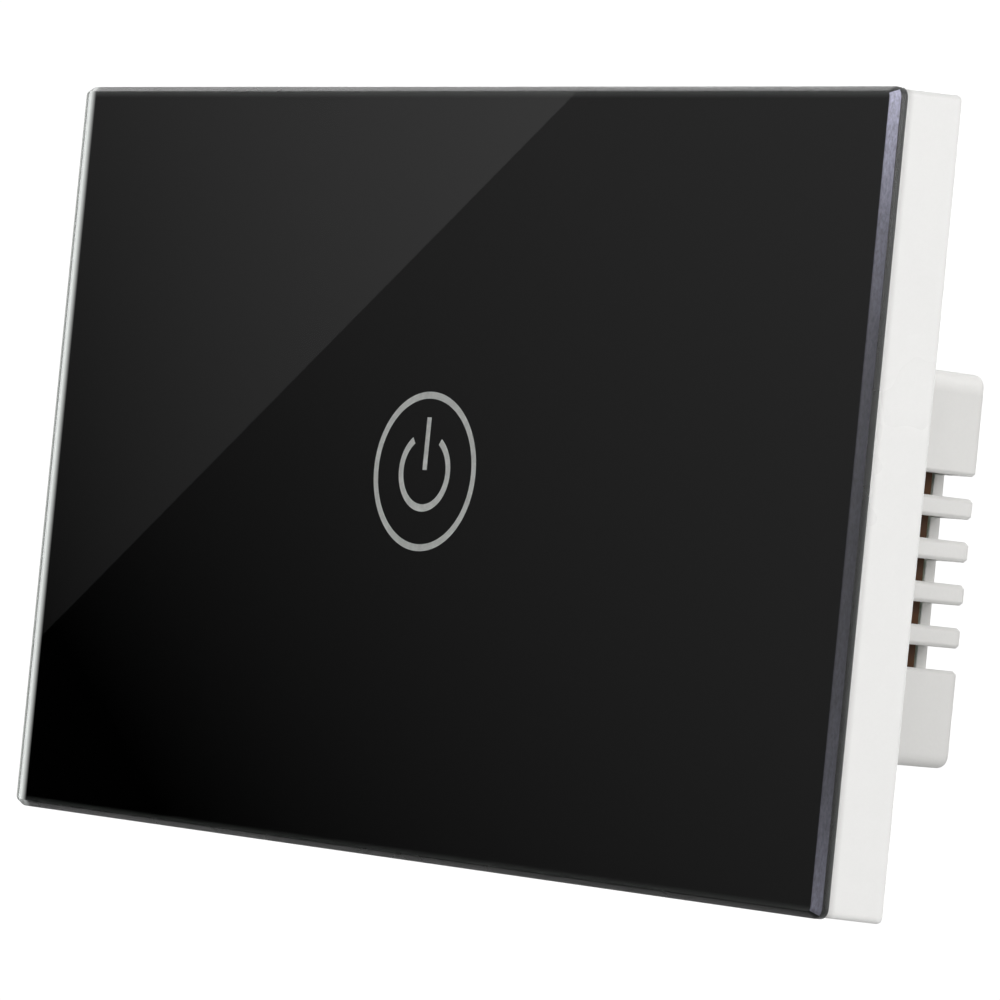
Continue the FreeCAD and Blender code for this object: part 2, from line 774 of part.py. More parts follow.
def mounting_yoke():
    body = new_body("mounting_yoke")
    grow(body, "plate", "XZ_Plane", YOKE_FRONT, YOKE_BACK,
         centred(0, 0, YOKE_WIDTH, YOKE_HEIGHT))
    soften(body, "corners", "Fillet", Sizes.yoke_corner, lambda edge: runs_along(edge, "y"))
    cut(body, "service_opening", "XZ_Plane", YOKE_FRONT - CUT_MARGIN, YOKE_BACK + CUT_MARGIN,
        service_opening())
    soften(body, "service_corners", "Fillet", Sizes.service_corner, service_corner_edge)
    cut(body, "box_screw_slots", "XZ_Plane", YOKE_FRONT - CUT_MARGIN, YOKE_BACK + CUT_MARGIN,
        *box_screw_slots())
    cut(body, "board_screw_holes", "XZ_Plane", YOKE_FRONT - CUT_MARGIN, YOKE_BACK + CUT_MARGIN,
        *board_screw_holes(Sizes.small_screw_radius + Sizes.small_screw_clearance))
    return body


# Rear housing: white moulded flange and box with vents that wrap its rear corners

def housing_shell(body):
    grow(body, "box", "XZ_Plane", -Sizes.flange_thickness, Sizes.box_depth,
         centred(0, BOX_MIDDLE, Sizes.box_width, Sizes.box_height))
    soften(body, "box_corners", "Fillet", Sizes.box_corner, lambda edge: runs_along(edge, "y"))
    rear = Sizes.box_depth.amount
    soften(body, "rear_edges", "Fillet", Sizes.rear_round,
           lambda edge: flat_along_y(edge) and near(edge.BoundBox.YMin, rear))
    grow(body, "flange", "XZ_Plane", -Sizes.flange_thickness, ZERO,
         centred(0, 0, FLANGE_WIDTH, FLANGE_HEIGHT))
    soften(body, "flange_corners", "Fillet", Sizes.flange_corner,
           lambda edge: runs_along(edge, "y") and near(abs(edge.BoundBox.XMin), FLANGE_WIDTH / 2))
    cut(body, "hollow", "XZ_Plane", -Sizes.flange_thickness - CUT_MARGIN, REAR_INSIDE,
        centred(0, BOX_MIDDLE, Sizes.box_width - Sizes.side_wall * 2,
                Sizes.box_height - Sizes.side_wall * 2))


def housing_vents(body):
    """Slots that run down both side walls and round the corner into the rear wall."""
    span = Sizes.vent_pitch * (Sizes.vent_count - 1)
    low = BOX_MIDDLE - Sizes.vent_drop - span / 2 - Sizes.vent_gap / 2
    beyond = BOX_RIGHT + CUT_MARGIN
    inner = BOX_RIGHT - Sizes.vent_reach
    slot = cut(body, "vent", "XY_Plane", low, low + Sizes.vent_gap,
               rectangle(inner, beyond, Sizes.vent_start, Sizes.box_depth + CUT_MARGIN),
               rectangle(-beyond, -inner, Sizes.vent_start, Sizes.box_depth + CUT_MARGIN))
    repeat(body, "vents", [slot], "Z_Axis", span, Sizes.vent_count)


def is_vent_arris(edge):
    """Outer edges of the vent slots, on the side walls, the corners and the rear wall."""
    box = edge.BoundBox
    span = Sizes.vent_pitch * (Sizes.vent_count - 1) + Sizes.vent_gap
    middle = (BOX_MIDDLE - Sizes.vent_drop).amount
    within = abs((box.ZMin + box.ZMax) / 2 - middle) < span.amount / 2 + HAIR
    outside = max(abs(box.XMin), abs(box.XMax)) > (BOX_RIGHT - Sizes.vent_reach).amount - HAIR
    on_side = near(abs(box.XMin), BOX_RIGHT) and near(abs(box.XMax), BOX_RIGHT)
    on_rear = near(box.YMin, Sizes.box_depth) and near(box.YMax, Sizes.box_depth)
    on_corner = box.XLength > HAIR and box.YLength > HAIR and box.YMax > REAR_INSIDE.amount
    level = box.ZLength < HAIR
    behind_start = box.YMax > Sizes.vent_start.amount + HAIR
    return within and outside and behind_start and level and (on_side or on_rear or on_corner)


def housing_inside(body):
    """Screw bosses, board posts, board lugs and the walls of the terminal bay."""
    cut(body, "terminal_bay", "XY_Plane", BOX_BOTTOM - CUT_MARGIN, BAY_TOP,
        rectangle(-BAY_WIDTH / 2, BAY_WIDTH / 2, BLOCK_FRONT - Sizes.bay_clearance,
                  Sizes.box_depth + CUT_MARGIN))
    wall_start = BAY_WIDTH / 2
    wall_stop = wall_start + Sizes.bay_wall
    grow(body, "bay_walls", "XZ_Plane", BLOCK_FRONT, REAR_INSIDE,
         rectangle(wall_start, wall_stop, INSIDE_BOTTOM, BAY_TOP),
         rectangle(-wall_stop, -wall_start, INSIDE_BOTTOM, BAY_TOP))
    grow(body, "screw_bosses", "XZ_Plane", -Sizes.flange_thickness, Sizes.boss_length,
         *board_screw_holes(Sizes.boss_radius))
    cut(body, "pilot_holes", "XZ_Plane", -Sizes.flange_thickness - CUT_MARGIN, Sizes.pilot_depth,
        *board_screw_holes(Sizes.small_screw_radius + Sizes.thread_clearance))
    posts = []
    for side in (-2, 2):
        for level in (-2, 2):
            posts.append(circle(Sizes.board_post_spacing_across / side,
                                BOX_MIDDLE + Sizes.board_post_spacing_up / level,
                                Sizes.board_post_radius))
    grow(body, "board_posts", "XZ_Plane", POWER_BACK, REAR_INSIDE, *posts)
    lug_front = POWER_FRONT - Sizes.lug_gap - Sizes.lug_depth
    lug_rear = POWER_FRONT - Sizes.lug_gap
    grow(body, "board_lug", "YZ_Plane", -Sizes.lug_width / 2, Sizes.lug_width / 2,
         polygon((lug_front, INSIDE_TOP), (lug_rear, INSIDE_TOP),
                 (lug_rear, INSIDE_TOP - Sizes.lug_reach)))
    for side in (-1, 1):
        inner = INSIDE_RIGHT * side
        grow(body, "side_lug", "XY_Plane", INSIDE_BOTTOM + Sizes.boss_inset,
             INSIDE_BOTTOM + Sizes.boss_inset + Sizes.side_lug_width,
             polygon((inner, lug_front), (inner, lug_rear), (inner - Sizes.lug_reach * side, lug_rear)))


def housing_flange_details(body):
    """Hook notches, box screw slots and the ribs that brace the flange to the box."""
    notch_low = YOKE_HEIGHT / 2 - Sizes.notch_depth
    beyond = FLANGE_HEIGHT / 2 + CUT_MARGIN
    half = Sizes.hook_width / 2 + Sizes.notch_margin
    notches = []
    for side in (-2, 2):
        middle = Sizes.hook_spacing / side
        notches.append(rectangle(middle - half, middle + half, notch_low, beyond))
        notches.append(rectangle(middle - half, middle + half, -beyond, -notch_low))
    cut(body, "hook_notches", "XZ_Plane", -Sizes.flange_thickness - CUT_MARGIN, CUT_MARGIN, *notches)
    cut(body, "box_screw_slots", "XZ_Plane", -Sizes.flange_thickness - CUT_MARGIN, CUT_MARGIN,
        *box_screw_slots())
    for side in (-1, 1):
        rib = grow(body, "flange_rib", "XY_Plane",
                   BOX_MIDDLE - (Sizes.flange_rib_spacing + Sizes.flange_rib_thickness) / 2,
                   BOX_MIDDLE - (Sizes.flange_rib_spacing - Sizes.flange_rib_thickness) / 2,
                   polygon((BOX_RIGHT * side, ZERO), ((BOX_RIGHT + Sizes.flange_rib_reach) * side, ZERO),
                           (BOX_RIGHT * side, Sizes.flange_rib_depth)))
        repeat(body, "flange_ribs", [rib], "Z_Axis", Sizes.flange_rib_spacing, PAIR)


def rear_housing():
    body = new_body("rear_housing")
    housing_shell(body)
    housing_vents(body)
    soften(body, "vent_edges", "Chamfer", Sizes.vent_edge_break, is_vent_arris)
    housing_inside(body)
    housing_flange_details(body)
    return body


# Insulating sheet and touch board, one screw pattern through both

def insulating_sheet():
    body = new_body("insulating_sheet")
    grow(body, "sheet", "XZ_Plane", SHEET_FRONT, YOKE_FRONT,
         centred(0, 0, Sizes.touch_board_width + Sizes.sheet_margin * 2,
                 Sizes.touch_board_height + Sizes.sheet_margin * 2),
         service_opening(),
         *board_screw_holes(Sizes.small_screw_radius + Sizes.small_screw_clearance))
    return body


def touch_board():
    body = new_body("touch_board")
    grow(body, "board", "XZ_Plane", TOUCH_FRONT, SHEET_FRONT,
         centred(0, 0, Sizes.touch_board_width, Sizes.touch_board_height),
         *board_screw_holes(Sizes.small_screw_radius + Sizes.small_screw_clearance))
    half = Sizes.touch_board_width / 2
    soften(body, "corners", "Fillet", Sizes.touch_board_corner,
           lambda edge: runs_along(edge, "y") and near(abs(edge.BoundBox.XMin), half))
    return body


def board_screws():
    """Four self tapping screws that hold board, sheet and yoke to the housing."""
    body = new_body("board_screws")
    head_front = TOUCH_FRONT - Sizes.small_screw_head_height
    tip = TOUCH_FRONT + Sizes.small_screw_length
    point = tip - Sizes.small_screw_radius
    head = Sizes.small_screw_head_radius
    screw = turn(body, "screw", "Revolution", "XY_Plane", "Y_Axis",
                 polygon((0, head_front), (head - Sizes.small_screw_head_break, head_front),
                         (head, head_front + Sizes.small_screw_head_break), (head, TOUCH_FRONT),
                         (Sizes.small_screw_radius, TOUCH_FRONT), (Sizes.small_screw_radius, point),
                         (0, tip)))
    grid = repeat(body, "grid", [screw], "X_Axis", BOSS_ACROSS * 2, PAIR)
    grid.Direction2 = (origin_part(body, "Z_Axis"), [""])
    bind(grid, "Length2", BOSS_RISE * 2)
    grid.Occurrences2 = 2
    return place(body, -BOSS_ACROSS, ZERO, BOX_MIDDLE - BOSS_RISE)


# Touch spring: a wire coil soldered to the board, pressed on the back of the panel

# Points along one turn of the coil; each arc of the wire runs through three of them
COIL_STEPS = 8


def touch_spring():
    wire = Sizes.spring_wire.amount
    radius = Sizes.spring_radius.amount
    turns = int(Sizes.spring_turns.amount)
    low = TOUCH_FRONT.amount - wire / 2
    high = WEB_FRONT.amount + wire / 2
    steps = turns * COIL_STEPS

    def on_coil(step):
        angle = 2 * math.pi * step / COIL_STEPS
        share = step / steps
        return FreeCAD.Vector(radius * math.cos(angle), low + (high - low) * share,
                              radius * math.sin(angle))

    arcs = [Part.Arc(on_coil(step), on_coil(step + 1), on_coil(step + 2)).toShape()
            for step in range(0, steps, 2)]
    path = Part.Wire(arcs)
    start = on_coil(0)
    heading = on_coil(1) - on_coil(-1)
    section = Part.Wire(Part.makeCircle(wire / 2, start, heading))
    coil = path.makePipeShell([section], True, False)
    spring = doc.addObject("Part::Feature", "touch_spring")
    spring.Shape = coil
    spring.Placement = FreeCAD.Placement()
    gap = abs(high - low) / turns - wire
    print(f"touch spring: least gap between turns {gap:.2f} mm")
    return spring


def status_led():
    body = new_body("status_led")
    front = TOUCH_FRONT - Sizes.led_depth
    grow(body, "case", "XZ_Plane", front, TOUCH_FRONT, centred(0, 0, Sizes.led_width, Sizes.led_height))
    grow(body, "lens", "XZ_Plane", front - Sizes.led_lens_rise, front,
         circle(0, 0, Sizes.led_lens_radius))
    return body


def touch_chip():
    body = new_body("touch_chip")
    front = -Sizes.chip_depth
    foot = -Sizes.chip_leg_thickness
    edge = Sizes.chip_height / 2
    grow(body, "case", "XZ_Plane", front, foot / 2, centred(0, 0, Sizes.chip_width, Sizes.chip_height))
    soften(body, "case_edges", "Chamfer", Sizes.chip_leg_thickness,
           lambda edge: near(edge.BoundBox.YMax, front))
    span = Sizes.chip_leg_pitch * (Sizes.chip_legs - 1)
    left = -span / 2 - Sizes.chip_leg_width / 2
    legs = grow(body, "leg", "YZ_Plane", left, left + Sizes.chip_leg_width,
                rectangle(foot, ZERO, edge, edge + Sizes.chip_leg_reach),
                rectangle(foot, ZERO, -edge - Sizes.chip_leg_reach, -edge))
    repeat(body, "legs", [legs], "X_Axis", span, Sizes.chip_legs)
    return place(body, Sizes.chip_across, TOUCH_FRONT, Sizes.chip_up)


# Radio module: a small board with a pressed shield can, on the back of the touch board

def behind_touch_board(thing):
    return place(thing, MODULE_LEFT + Sizes.module_width / 2, SHEET_FRONT, BOX_MIDDLE)


def radio_module():
    body = new_body("radio_module")
    grow(body, "board", "XZ_Plane", ZERO, Sizes.module_thickness,
         centred(0, 0, Sizes.module_width, Sizes.module_height))
    return behind_touch_board(body)


def shield_can():
    body = new_body("shield_can")
    base = Sizes.module_thickness
    grow(body, "can", "XZ_Plane", base, base + Sizes.shield_depth,
         centred(0, Sizes.shield_shift, Sizes.shield_width, Sizes.shield_height))
    soften(body, "corners", "Fillet", Sizes.shield_corner, lambda edge: runs_along(edge, "y"))
    cut(body, "hollow", "XZ_Plane", base - CUT_MARGIN, base + Sizes.shield_depth - Sizes.shield_wall,
        centred(0, Sizes.shield_shift, Sizes.shield_width - Sizes.shield_wall * 2,
                Sizes.shield_height - Sizes.shield_wall * 2))
    return behind_touch_board(body)


# Board link: long square pins from the power board into a socket under the touch board

def link_socket():
    body = new_body("link_socket")
    rear = Sizes.socket_depth
    grow(body, "case", "XZ_Plane", ZERO, rear, centred(0, 0, SOCKET_WIDTH, Sizes.socket_thickness))
    cut(body, "slot", "XZ_Plane", rear - Sizes.socket_slot_depth, rear + CUT_MARGIN,
        centred(0, 0, LINK_EXTENT + Sizes.socket_slot * 2, Sizes.socket_slot))
    return place(body, ZERO, SHEET_FRONT, LINK_UP)


def link_pins():
    body = new_body("link_pins")
    socket_mouth = SHEET_FRONT + Sizes.socket_depth
    half = Sizes.pin_thickness / 2
    first = -LINK_EXTENT / 2
    pin = grow(body, "pin", "XZ_Plane", socket_mouth - Sizes.pin_engagement,
               POWER_BACK + Sizes.pin_through, rectangle(first - half, first + half, -half, half))
    repeat(body, "pins", [pin], "X_Axis", LINK_EXTENT, Sizes.link_pins)
    return place(body, ZERO, ZERO, LINK_UP)


def link_spacers():
    """Two plastic bars that hold the long pins in line."""
    body = new_body("link_spacers")
    half = Sizes.pin_thickness / 2
    first = -LINK_EXTENT / 2
    rear = POWER_FRONT
    lift = Sizes.spacer_lift + Sizes.spacer_depth
    grow(body, "lower_bar", "XZ_Plane", rear - Sizes.spacer_depth, rear,
         centred(0, 0, SOCKET_WIDTH, Sizes.socket_thickness))
    grow(body, "upper_bar", "XZ_Plane", rear - lift - Sizes.spacer_depth, rear - lift,
         centred(0, 0, SOCKET_WIDTH, Sizes.socket_thickness))
    hole = cut(body, "pin_hole", "XZ_Plane", rear - lift - Sizes.spacer_depth - CUT_MARGIN,
               rear + CUT_MARGIN, rectangle(first - half, first + half, -half, half))
    repeat(body, "pin_holes", [hole], "X_Axis", LINK_EXTENT, Sizes.link_pins)
    return place(body, ZERO, ZERO, LINK_UP)


# Power board: brown paper laminate, notched round the terminal bay, punched for the leads

def row_of(count, pitch):
    """Places along a row that is centred on zero."""
    return [pitch * (step - (count - 1) / 2) for step in range(count)]


def two_leads(pitch):
    return [(pitch / side, ZERO) for side in (-2, 2)]


def film_leads():
    return two_leads(Sizes.film_lead_pitch)


def varistor_leads():
    return [(ZERO, across) for across, up in two_leads(Sizes.varistor_lead_pitch)]


def fuse_leads():
    return two_leads(Sizes.fuse_length - Sizes.fuse_cap_length)


def choke_leads():
    return two_leads(Sizes.choke_lead_pitch)


def capacitor_leads():
    return two_leads(Sizes.capacitor_lead_pitch)


def rectifier_leads():
    return [(across, Sizes.rectifier_lead_spacing_up / level)
            for across, up in two_leads(Sizes.rectifier_lead_spacing_across) for level in (-2, 2)]


def transformer_leads():
    rows = row_of(int(Sizes.transformer_leads.amount), Sizes.transformer_lead_pitch)
    return [(across, up) for across, none in two_leads(Sizes.transformer_row_spacing) for up in rows]


def relay_leads():
    """Two for the coil, one for the yoke that carries the armature, one for the fixed contact."""
    return [(Sizes.coil_lead_across, Sizes.coil_lead_up), (Sizes.coil_lead_across, -Sizes.coil_lead_up),
            (Sizes.common_lead_across, ZERO), (Sizes.contact_lead_across, ZERO)]


def all_lead_places():
    groups = [
        (RELAY_ACROSS, Sizes.relay_up, relay_leads()),
        (FILM_ACROSS, Sizes.film_up, film_leads()),
        (VARISTOR_ACROSS, Sizes.varistor_up, varistor_leads()),
        (TRANSFORMER_ACROSS, Sizes.transformer_up, transformer_leads()),
        (CAPACITOR_ACROSS, Sizes.capacitor_up, capacitor_leads()),
        (CAPACITOR_ACROSS, Sizes.capacitor_up - CAPACITOR_SPACING, capacitor_leads()),
        (CHOKE_ACROSS, Sizes.fuse_up, fuse_leads()),
        (CHOKE_ACROSS, Sizes.choke_up, choke_leads()),
        (RECTIFIER_ACROSS, Sizes.rectifier_up, rectifier_leads()),
    ]
    return [(middle + across, level + up) for middle, level, leads in groups for across, up in leads]


def grow_leads(body, places, start, board_front):
    """Square leads from inside a part, through the board, to just past its solder side."""
    stop = board_front + Sizes.power_board_thickness + Sizes.lead_through
    side = Sizes.lead_thickness
    squares = [centred(across, up, side, side) for across, up in places]
    return grow(body, "leads", "XZ_Plane", start, stop, *squares)


def power_board():
    body = new_body("power_board")
    reach = INSIDE_RIGHT - Sizes.power_board_clearance
    grow(body, "board", "XZ_Plane", POWER_FRONT, POWER_BACK,
         rectangle(-reach, reach, INSIDE_BOTTOM + Sizes.power_board_clearance,
                   INSIDE_TOP - Sizes.power_board_clearance))
    before, behind = POWER_FRONT - CUT_MARGIN, POWER_BACK + CUT_MARGIN
    cut(body, "bay_notch", "XZ_Plane", before, behind,
        rectangle(-NOTCH_RIGHT, NOTCH_RIGHT, BOX_BOTTOM - CUT_MARGIN,
                  BAY_TOP + Sizes.board_notch_clearance))
    leg_half = Sizes.leg_width / 2 + Sizes.slot_clearance
    leg = cut(body, "leg_slot", "XZ_Plane", before, behind,
              rectangle(-ROW_EXTENT / 2 - leg_half, -ROW_EXTENT / 2 + leg_half,
                        LEG_BOTTOM - Sizes.slot_clearance, LEG_TOP + Sizes.slot_clearance))
    repeat(body, "leg_slots", [leg], "X_Axis", ROW_EXTENT, Sizes.terminal_count)
    half = Sizes.pin_thickness / 2 + Sizes.thread_clearance
    first = -LINK_EXTENT / 2
    pin = cut(body, "pin_hole", "XZ_Plane", before, behind,
              rectangle(first - half, first + half, LINK_UP - half, LINK_UP + half))
    repeat(body, "pin_holes", [pin], "X_Axis", LINK_EXTENT, Sizes.link_pins)
    side = Sizes.lead_thickness + Sizes.lead_hole_clearance * 2
    holes = [centred(across, up, side, side) for across, up in all_lead_places()]
    cut(body, "lead_holes", "XZ_Plane", before, behind, *holes)
    return body


# Terminal block: grey moulding with three cages that rise when their screws turn

def terminal_block():
    body = new_body("terminal_block")
    first = -ROW_EXTENT / 2
    grow(body, "block", "XZ_Plane", BLOCK_FRONT, BLOCK_REAR,
         rectangle(-BLOCK_WIDTH / 2, BLOCK_WIDTH / 2, BLOCK_BOTTOM, BLOCK_TOP))
    soften(body, "block_edges", "Fillet", Sizes.block_round,
           lambda edge: near(edge.BoundBox.YMin, BLOCK_REAR) and near(edge.BoundBox.YMax, BLOCK_REAR))
    cavity = cut(body, "cavity", "XZ_Plane", BLOCK_FRONT - CUT_MARGIN, CAVITY_REAR,
                 rectangle(first - CAVITY_WIDTH / 2, first + CAVITY_WIDTH / 2,
                           CAVITY_BOTTOM, CAVITY_TOP))
    throat = cut(body, "throat", "XZ_Plane", CAVITY_REAR - CUT_MARGIN, WELL_BOTTOM + CUT_MARGIN,
                 circle(first, CAVITY_MIDDLE, Sizes.screw_radius + Sizes.throat_clearance))
    well = cut(body, "well", "XZ_Plane", WELL_BOTTOM, BLOCK_REAR + CUT_MARGIN,
               circle(first, CAVITY_MIDDLE, Sizes.screw_head_radius + Sizes.well_clearance))
    wire_hole = cut(body, "wire_hole", "XY_Plane", BLOCK_BOTTOM - CUT_MARGIN, CAVITY_BOTTOM + CUT_MARGIN,
                    circle(first, WIRE_MIDDLE, Sizes.wire_hole_radius))
    slot_half = Sizes.bar_width / 2 + Sizes.slot_clearance
    bar_slot = cut(body, "bar_slot", "XY_Plane", CAVITY_TOP - CUT_MARGIN, BLOCK_TOP + CUT_MARGIN,
                   rectangle(first - slot_half, first + slot_half, BLOCK_FRONT - CUT_MARGIN,
                             BAR_REAR + Sizes.slot_clearance))
    repeat(body, "poles", [cavity, throat, well, wire_hole, bar_slot], "X_Axis", ROW_EXTENT,
           Sizes.terminal_count)
    return body


def terminal_bars():
    """Three tinned bars: each lies in its cage, climbs out of the block and ends in the board."""
    body = new_body("terminal_bars")
    first = -ROW_EXTENT / 2
    low = CAVITY_BOTTOM + Sizes.bar_lead
    bar = grow(body, "bar", "XZ_Plane", BAR_FRONT, BAR_REAR,
               rectangle(first - Sizes.bar_width / 2, first + Sizes.bar_width / 2, low, LEG_TOP))
    leg = grow(body, "leg", "XZ_Plane", BAR_FRONT, POWER_BACK + Sizes.leg_through,
               rectangle(first - Sizes.leg_width / 2, first + Sizes.leg_width / 2, LEG_BOTTOM, LEG_TOP))
    repeat(body, "bars", [bar, leg], "X_Axis", ROW_EXTENT, Sizes.terminal_count)
    return body


def pole_across(pole):
    return TERMINAL_PITCH * (as_length(pole) - (Sizes.terminal_count + 1) / 2)


def terminal_screw(pole):
    body = new_body(f"terminal_screw_{pole}")
    seat = WELL_BOTTOM + Sizes.screw_play
    top = seat + Sizes.screw_head_height
    tip = BAR_REAR + Sizes.screw_play
    turn(body, "screw", "Revolution", "XY_Plane", "Y_Axis",
         polygon((0, tip), (Sizes.screw_radius, tip), (Sizes.screw_radius, seat),
                 (Sizes.screw_head_radius, seat), (Sizes.screw_head_radius, top), (0, top)))
    soften(body, "head_edge", "Chamfer", Sizes.screw_head_break,
           lambda edge: near(edge.BoundBox.YMin, top) and near(edge.BoundBox.YMax, top))
    cut(body, "driver_slot", "XZ_Plane", top - Sizes.screw_slot_depth, top + CUT_MARGIN,
        centred(0, 0, (Sizes.screw_head_radius + CUT_MARGIN) * 2, Sizes.screw_slot_width))
    return place(body, pole_across(pole), ZERO, CAVITY_MIDDLE)


def clamp_cage(pole):
    body = new_body(f"clamp_cage_{pole}")
    half = CAGE_WIDTH / 2
    inside = half - Sizes.cage_wall
    grow(body, "loop", "XY_Plane", -Sizes.cage_length / 2, Sizes.cage_length / 2,
         rectangle(-half, half, CAGE_FRONT, CAGE_REAR),
         rectangle(-inside, inside, CAGE_INSIDE_FRONT, CAGE_INSIDE_REAR))
    soften(body, "bends", "Fillet", Sizes.cage_round,
           lambda edge: runs_along(edge, "z") and near(abs(edge.BoundBox.XMin), half))
    cut(body, "thread", "XZ_Plane", CAGE_INSIDE_REAR - CUT_MARGIN, CAGE_REAR + CUT_MARGIN,
        circle(0, 0, Sizes.screw_radius + Sizes.thread_clearance))
    return place(body, pole_across(pole), ZERO, CAVITY_MIDDLE)


# Relay: sealed case with a coil, an L yoke and a hinged armature that closes the contact

def seat_on_power_board(thing, across, up):
    return place(thing, across, POWER_FRONT, up)


def in_relay(thing):
    return seat_on_power_board(thing, RELAY_ACROSS, Sizes.relay_up)


COIL_REAR = -Sizes.relay_base_thickness - Sizes.coil_lift
COIL_FRONT = COIL_REAR - Sizes.bobbin_length
POLE_FRONT = COIL_FRONT - Sizes.pole_thickness
ARM_INSIDE = Sizes.yoke_arm_across + Sizes.yoke_arm_thickness
PIVOT_DEPTH = POLE_FRONT - Sizes.armature_rest_gap


def off_the_board(edge):
    return edge.BoundBox.YMin < -HAIR


def relay_case():
    body = new_body("relay_case")
    front = -Sizes.relay_height
    grow(body, "case", "XZ_Plane", front, ZERO, centred(0, 0, Sizes.relay_length, Sizes.relay_width))
    soften(body, "edges", "Fillet", Sizes.relay_round, off_the_board)
    cut(body, "hollow", "XZ_Plane", front + Sizes.relay_wall, CUT_MARGIN,
        centred(0, 0, Sizes.relay_length - Sizes.relay_wall * 2,
                Sizes.relay_width - Sizes.relay_wall * 2))
    return in_relay(body)


def relay_base():
    body = new_body("relay_base")
    shrink = (Sizes.relay_wall + Sizes.relay_base_clearance) * 2
    grow(body, "base", "XZ_Plane", -Sizes.relay_base_thickness, ZERO,
         centred(0, 0, Sizes.relay_length - shrink, Sizes.relay_width - shrink))
    grow_leads(body, relay_leads(), -Sizes.lead_start, ZERO)
    return in_relay(body)


def place_in_relay_at_coil(body):
    return place(body, RELAY_ACROSS + Sizes.coil_across, POWER_FRONT, Sizes.relay_up)


def relay_bobbin():
    body = new_body("relay_bobbin")
    bore = Sizes.core_radius + Sizes.relay_base_clearance
    flange = Sizes.bobbin_flange
    hub, rim = Sizes.hub_radius, Sizes.bobbin_radius
    turn(body, "spool", "Revolution", "XY_Plane", "Y_Axis",
         polygon((bore, COIL_REAR), (rim, COIL_REAR), (rim, COIL_REAR - flange),
                 (hub, COIL_REAR - flange), (hub, COIL_FRONT + flange),
                 (rim, COIL_FRONT + flange), (rim, COIL_FRONT), (bore, COIL_FRONT)))
    return place_in_relay_at_coil(body)


def relay_winding():
    body = new_body("relay_winding")
    turn(body, "winding", "Revolution", "XY_Plane", "Y_Axis",
         rectangle(Sizes.hub_radius, Sizes.winding_radius, COIL_FRONT + Sizes.bobbin_flange,
                   COIL_REAR - Sizes.bobbin_flange))
    return place_in_relay_at_coil(body)


def relay_core():
    """Iron core with its pole face, riveted to the L yoke that carries the armature's edge."""
    body = new_body("relay_core")
    coil = Sizes.coil_across
    foot_rear = -Sizes.relay_base_thickness
    half = Sizes.yoke_arm_width / 2
    grow(body, "yoke", "XY_Plane", -half, half,
         polygon((Sizes.yoke_arm_across, foot_rear), (Sizes.yoke_arm_across, PIVOT_DEPTH),
                 (ARM_INSIDE, PIVOT_DEPTH), (ARM_INSIDE, COIL_REAR),
                 (coil + half, COIL_REAR), (coil + half, foot_rear)))
    grow(body, "core", "XZ_Plane", COIL_FRONT, COIL_REAR, circle(coil, 0, Sizes.core_radius))
    grow(body, "pole", "XZ_Plane", POLE_FRONT, COIL_FRONT, circle(coil, 0, Sizes.pole_radius))
    return in_relay(body)


def tilt_open(body):
    """The armature stands open, turned about the edge of the yoke."""
    place(body, RELAY_ACROSS + Sizes.yoke_arm_across, POWER_FRONT + PIVOT_DEPTH, Sizes.relay_up)
    bind(body, "Placement.Rotation.Axis.x", ZERO)
    bind(body, "Placement.Rotation.Axis.y", ZERO)
    bind(body, "Placement.Rotation.Axis.z", as_length(1))
    bind(body, "Placement.Rotation.Angle", -Sizes.armature_open_angle)
    return body


def relay_armature():
    body = new_body("relay_armature")
    half = Sizes.yoke_arm_width / 2
    grow(body, "plate", "XY_Plane", -half, half,
         rectangle(ZERO, Sizes.armature_length, -Sizes.armature_thickness, ZERO))
    return tilt_open(body)


def contact_blade():
    """Bronze blade riveted on the armature, with the moving contact at its end."""
    body = new_body("contact_blade")
    half = Sizes.blade_width / 2
    front = -Sizes.armature_thickness - Sizes.blade_thickness
    start = Sizes.armature_length - Sizes.blade_overlap
    stop = Sizes.armature_length + Sizes.blade_length
    grow(body, "blade", "XY_Plane", -half, half,
         rectangle(start, stop, front, -Sizes.armature_thickness))
    button_across = stop - Sizes.contact_radius
    grow(body, "button", "XZ_Plane", -Sizes.armature_thickness,
         Sizes.contact_height - Sizes.armature_thickness,
         circle(button_across, 0, Sizes.contact_radius))
    return tilt_open(body)


def fixed_contact():
    """Bent post from the base with the fixed contact at its head."""
    body = new_body("fixed_contact")
    stop = Sizes.yoke_arm_across + Sizes.armature_length + Sizes.blade_length
    middle = stop - Sizes.contact_radius
    face = PIVOT_DEPTH - Sizes.armature_thickness + Sizes.contact_height + Sizes.contact_gap
    head = face + Sizes.contact_height
    post_right = middle + Sizes.post_reach
    post_left = post_right - Sizes.post_thickness
    half = Sizes.post_width / 2
    foot = -Sizes.relay_base_thickness
    shelf_left = middle - Sizes.contact_radius
    under = head + Sizes.post_thickness
    grow(body, "post", "XY_Plane", -half, half,
         polygon((post_left, foot), (post_right, foot), (post_right, head), (shelf_left, head),
                 (shelf_left, under), (post_left, under)))
    grow(body, "button", "XZ_Plane", face, head, circle(middle, 0, Sizes.contact_radius))
    return in_relay(body)


# Transformer: ferrite frame round a taped winding on a bobbin base

def on_transformer(body):
    return seat_on_power_board(body, TRANSFORMER_ACROSS, Sizes.transformer_up)


def transformer_core():
    body = new_body("transformer_core")
    half = Sizes.core_width / 2
    rear = -Sizes.core_lift
    front = rear - Sizes.core_height
    window = half - Sizes.core_leg
    centre = Sizes.core_centre_leg / 2
    grow(body, "frame", "XY_Plane", -Sizes.core_thickness / 2, Sizes.core_thickness / 2,
         rectangle(-half, half, front, rear),
         rectangle(centre, window, front + Sizes.core_bar, rear - Sizes.core_bar),
         rectangle(-window, -centre, front + Sizes.core_bar, rear - Sizes.core_bar))
    return on_transformer(body)


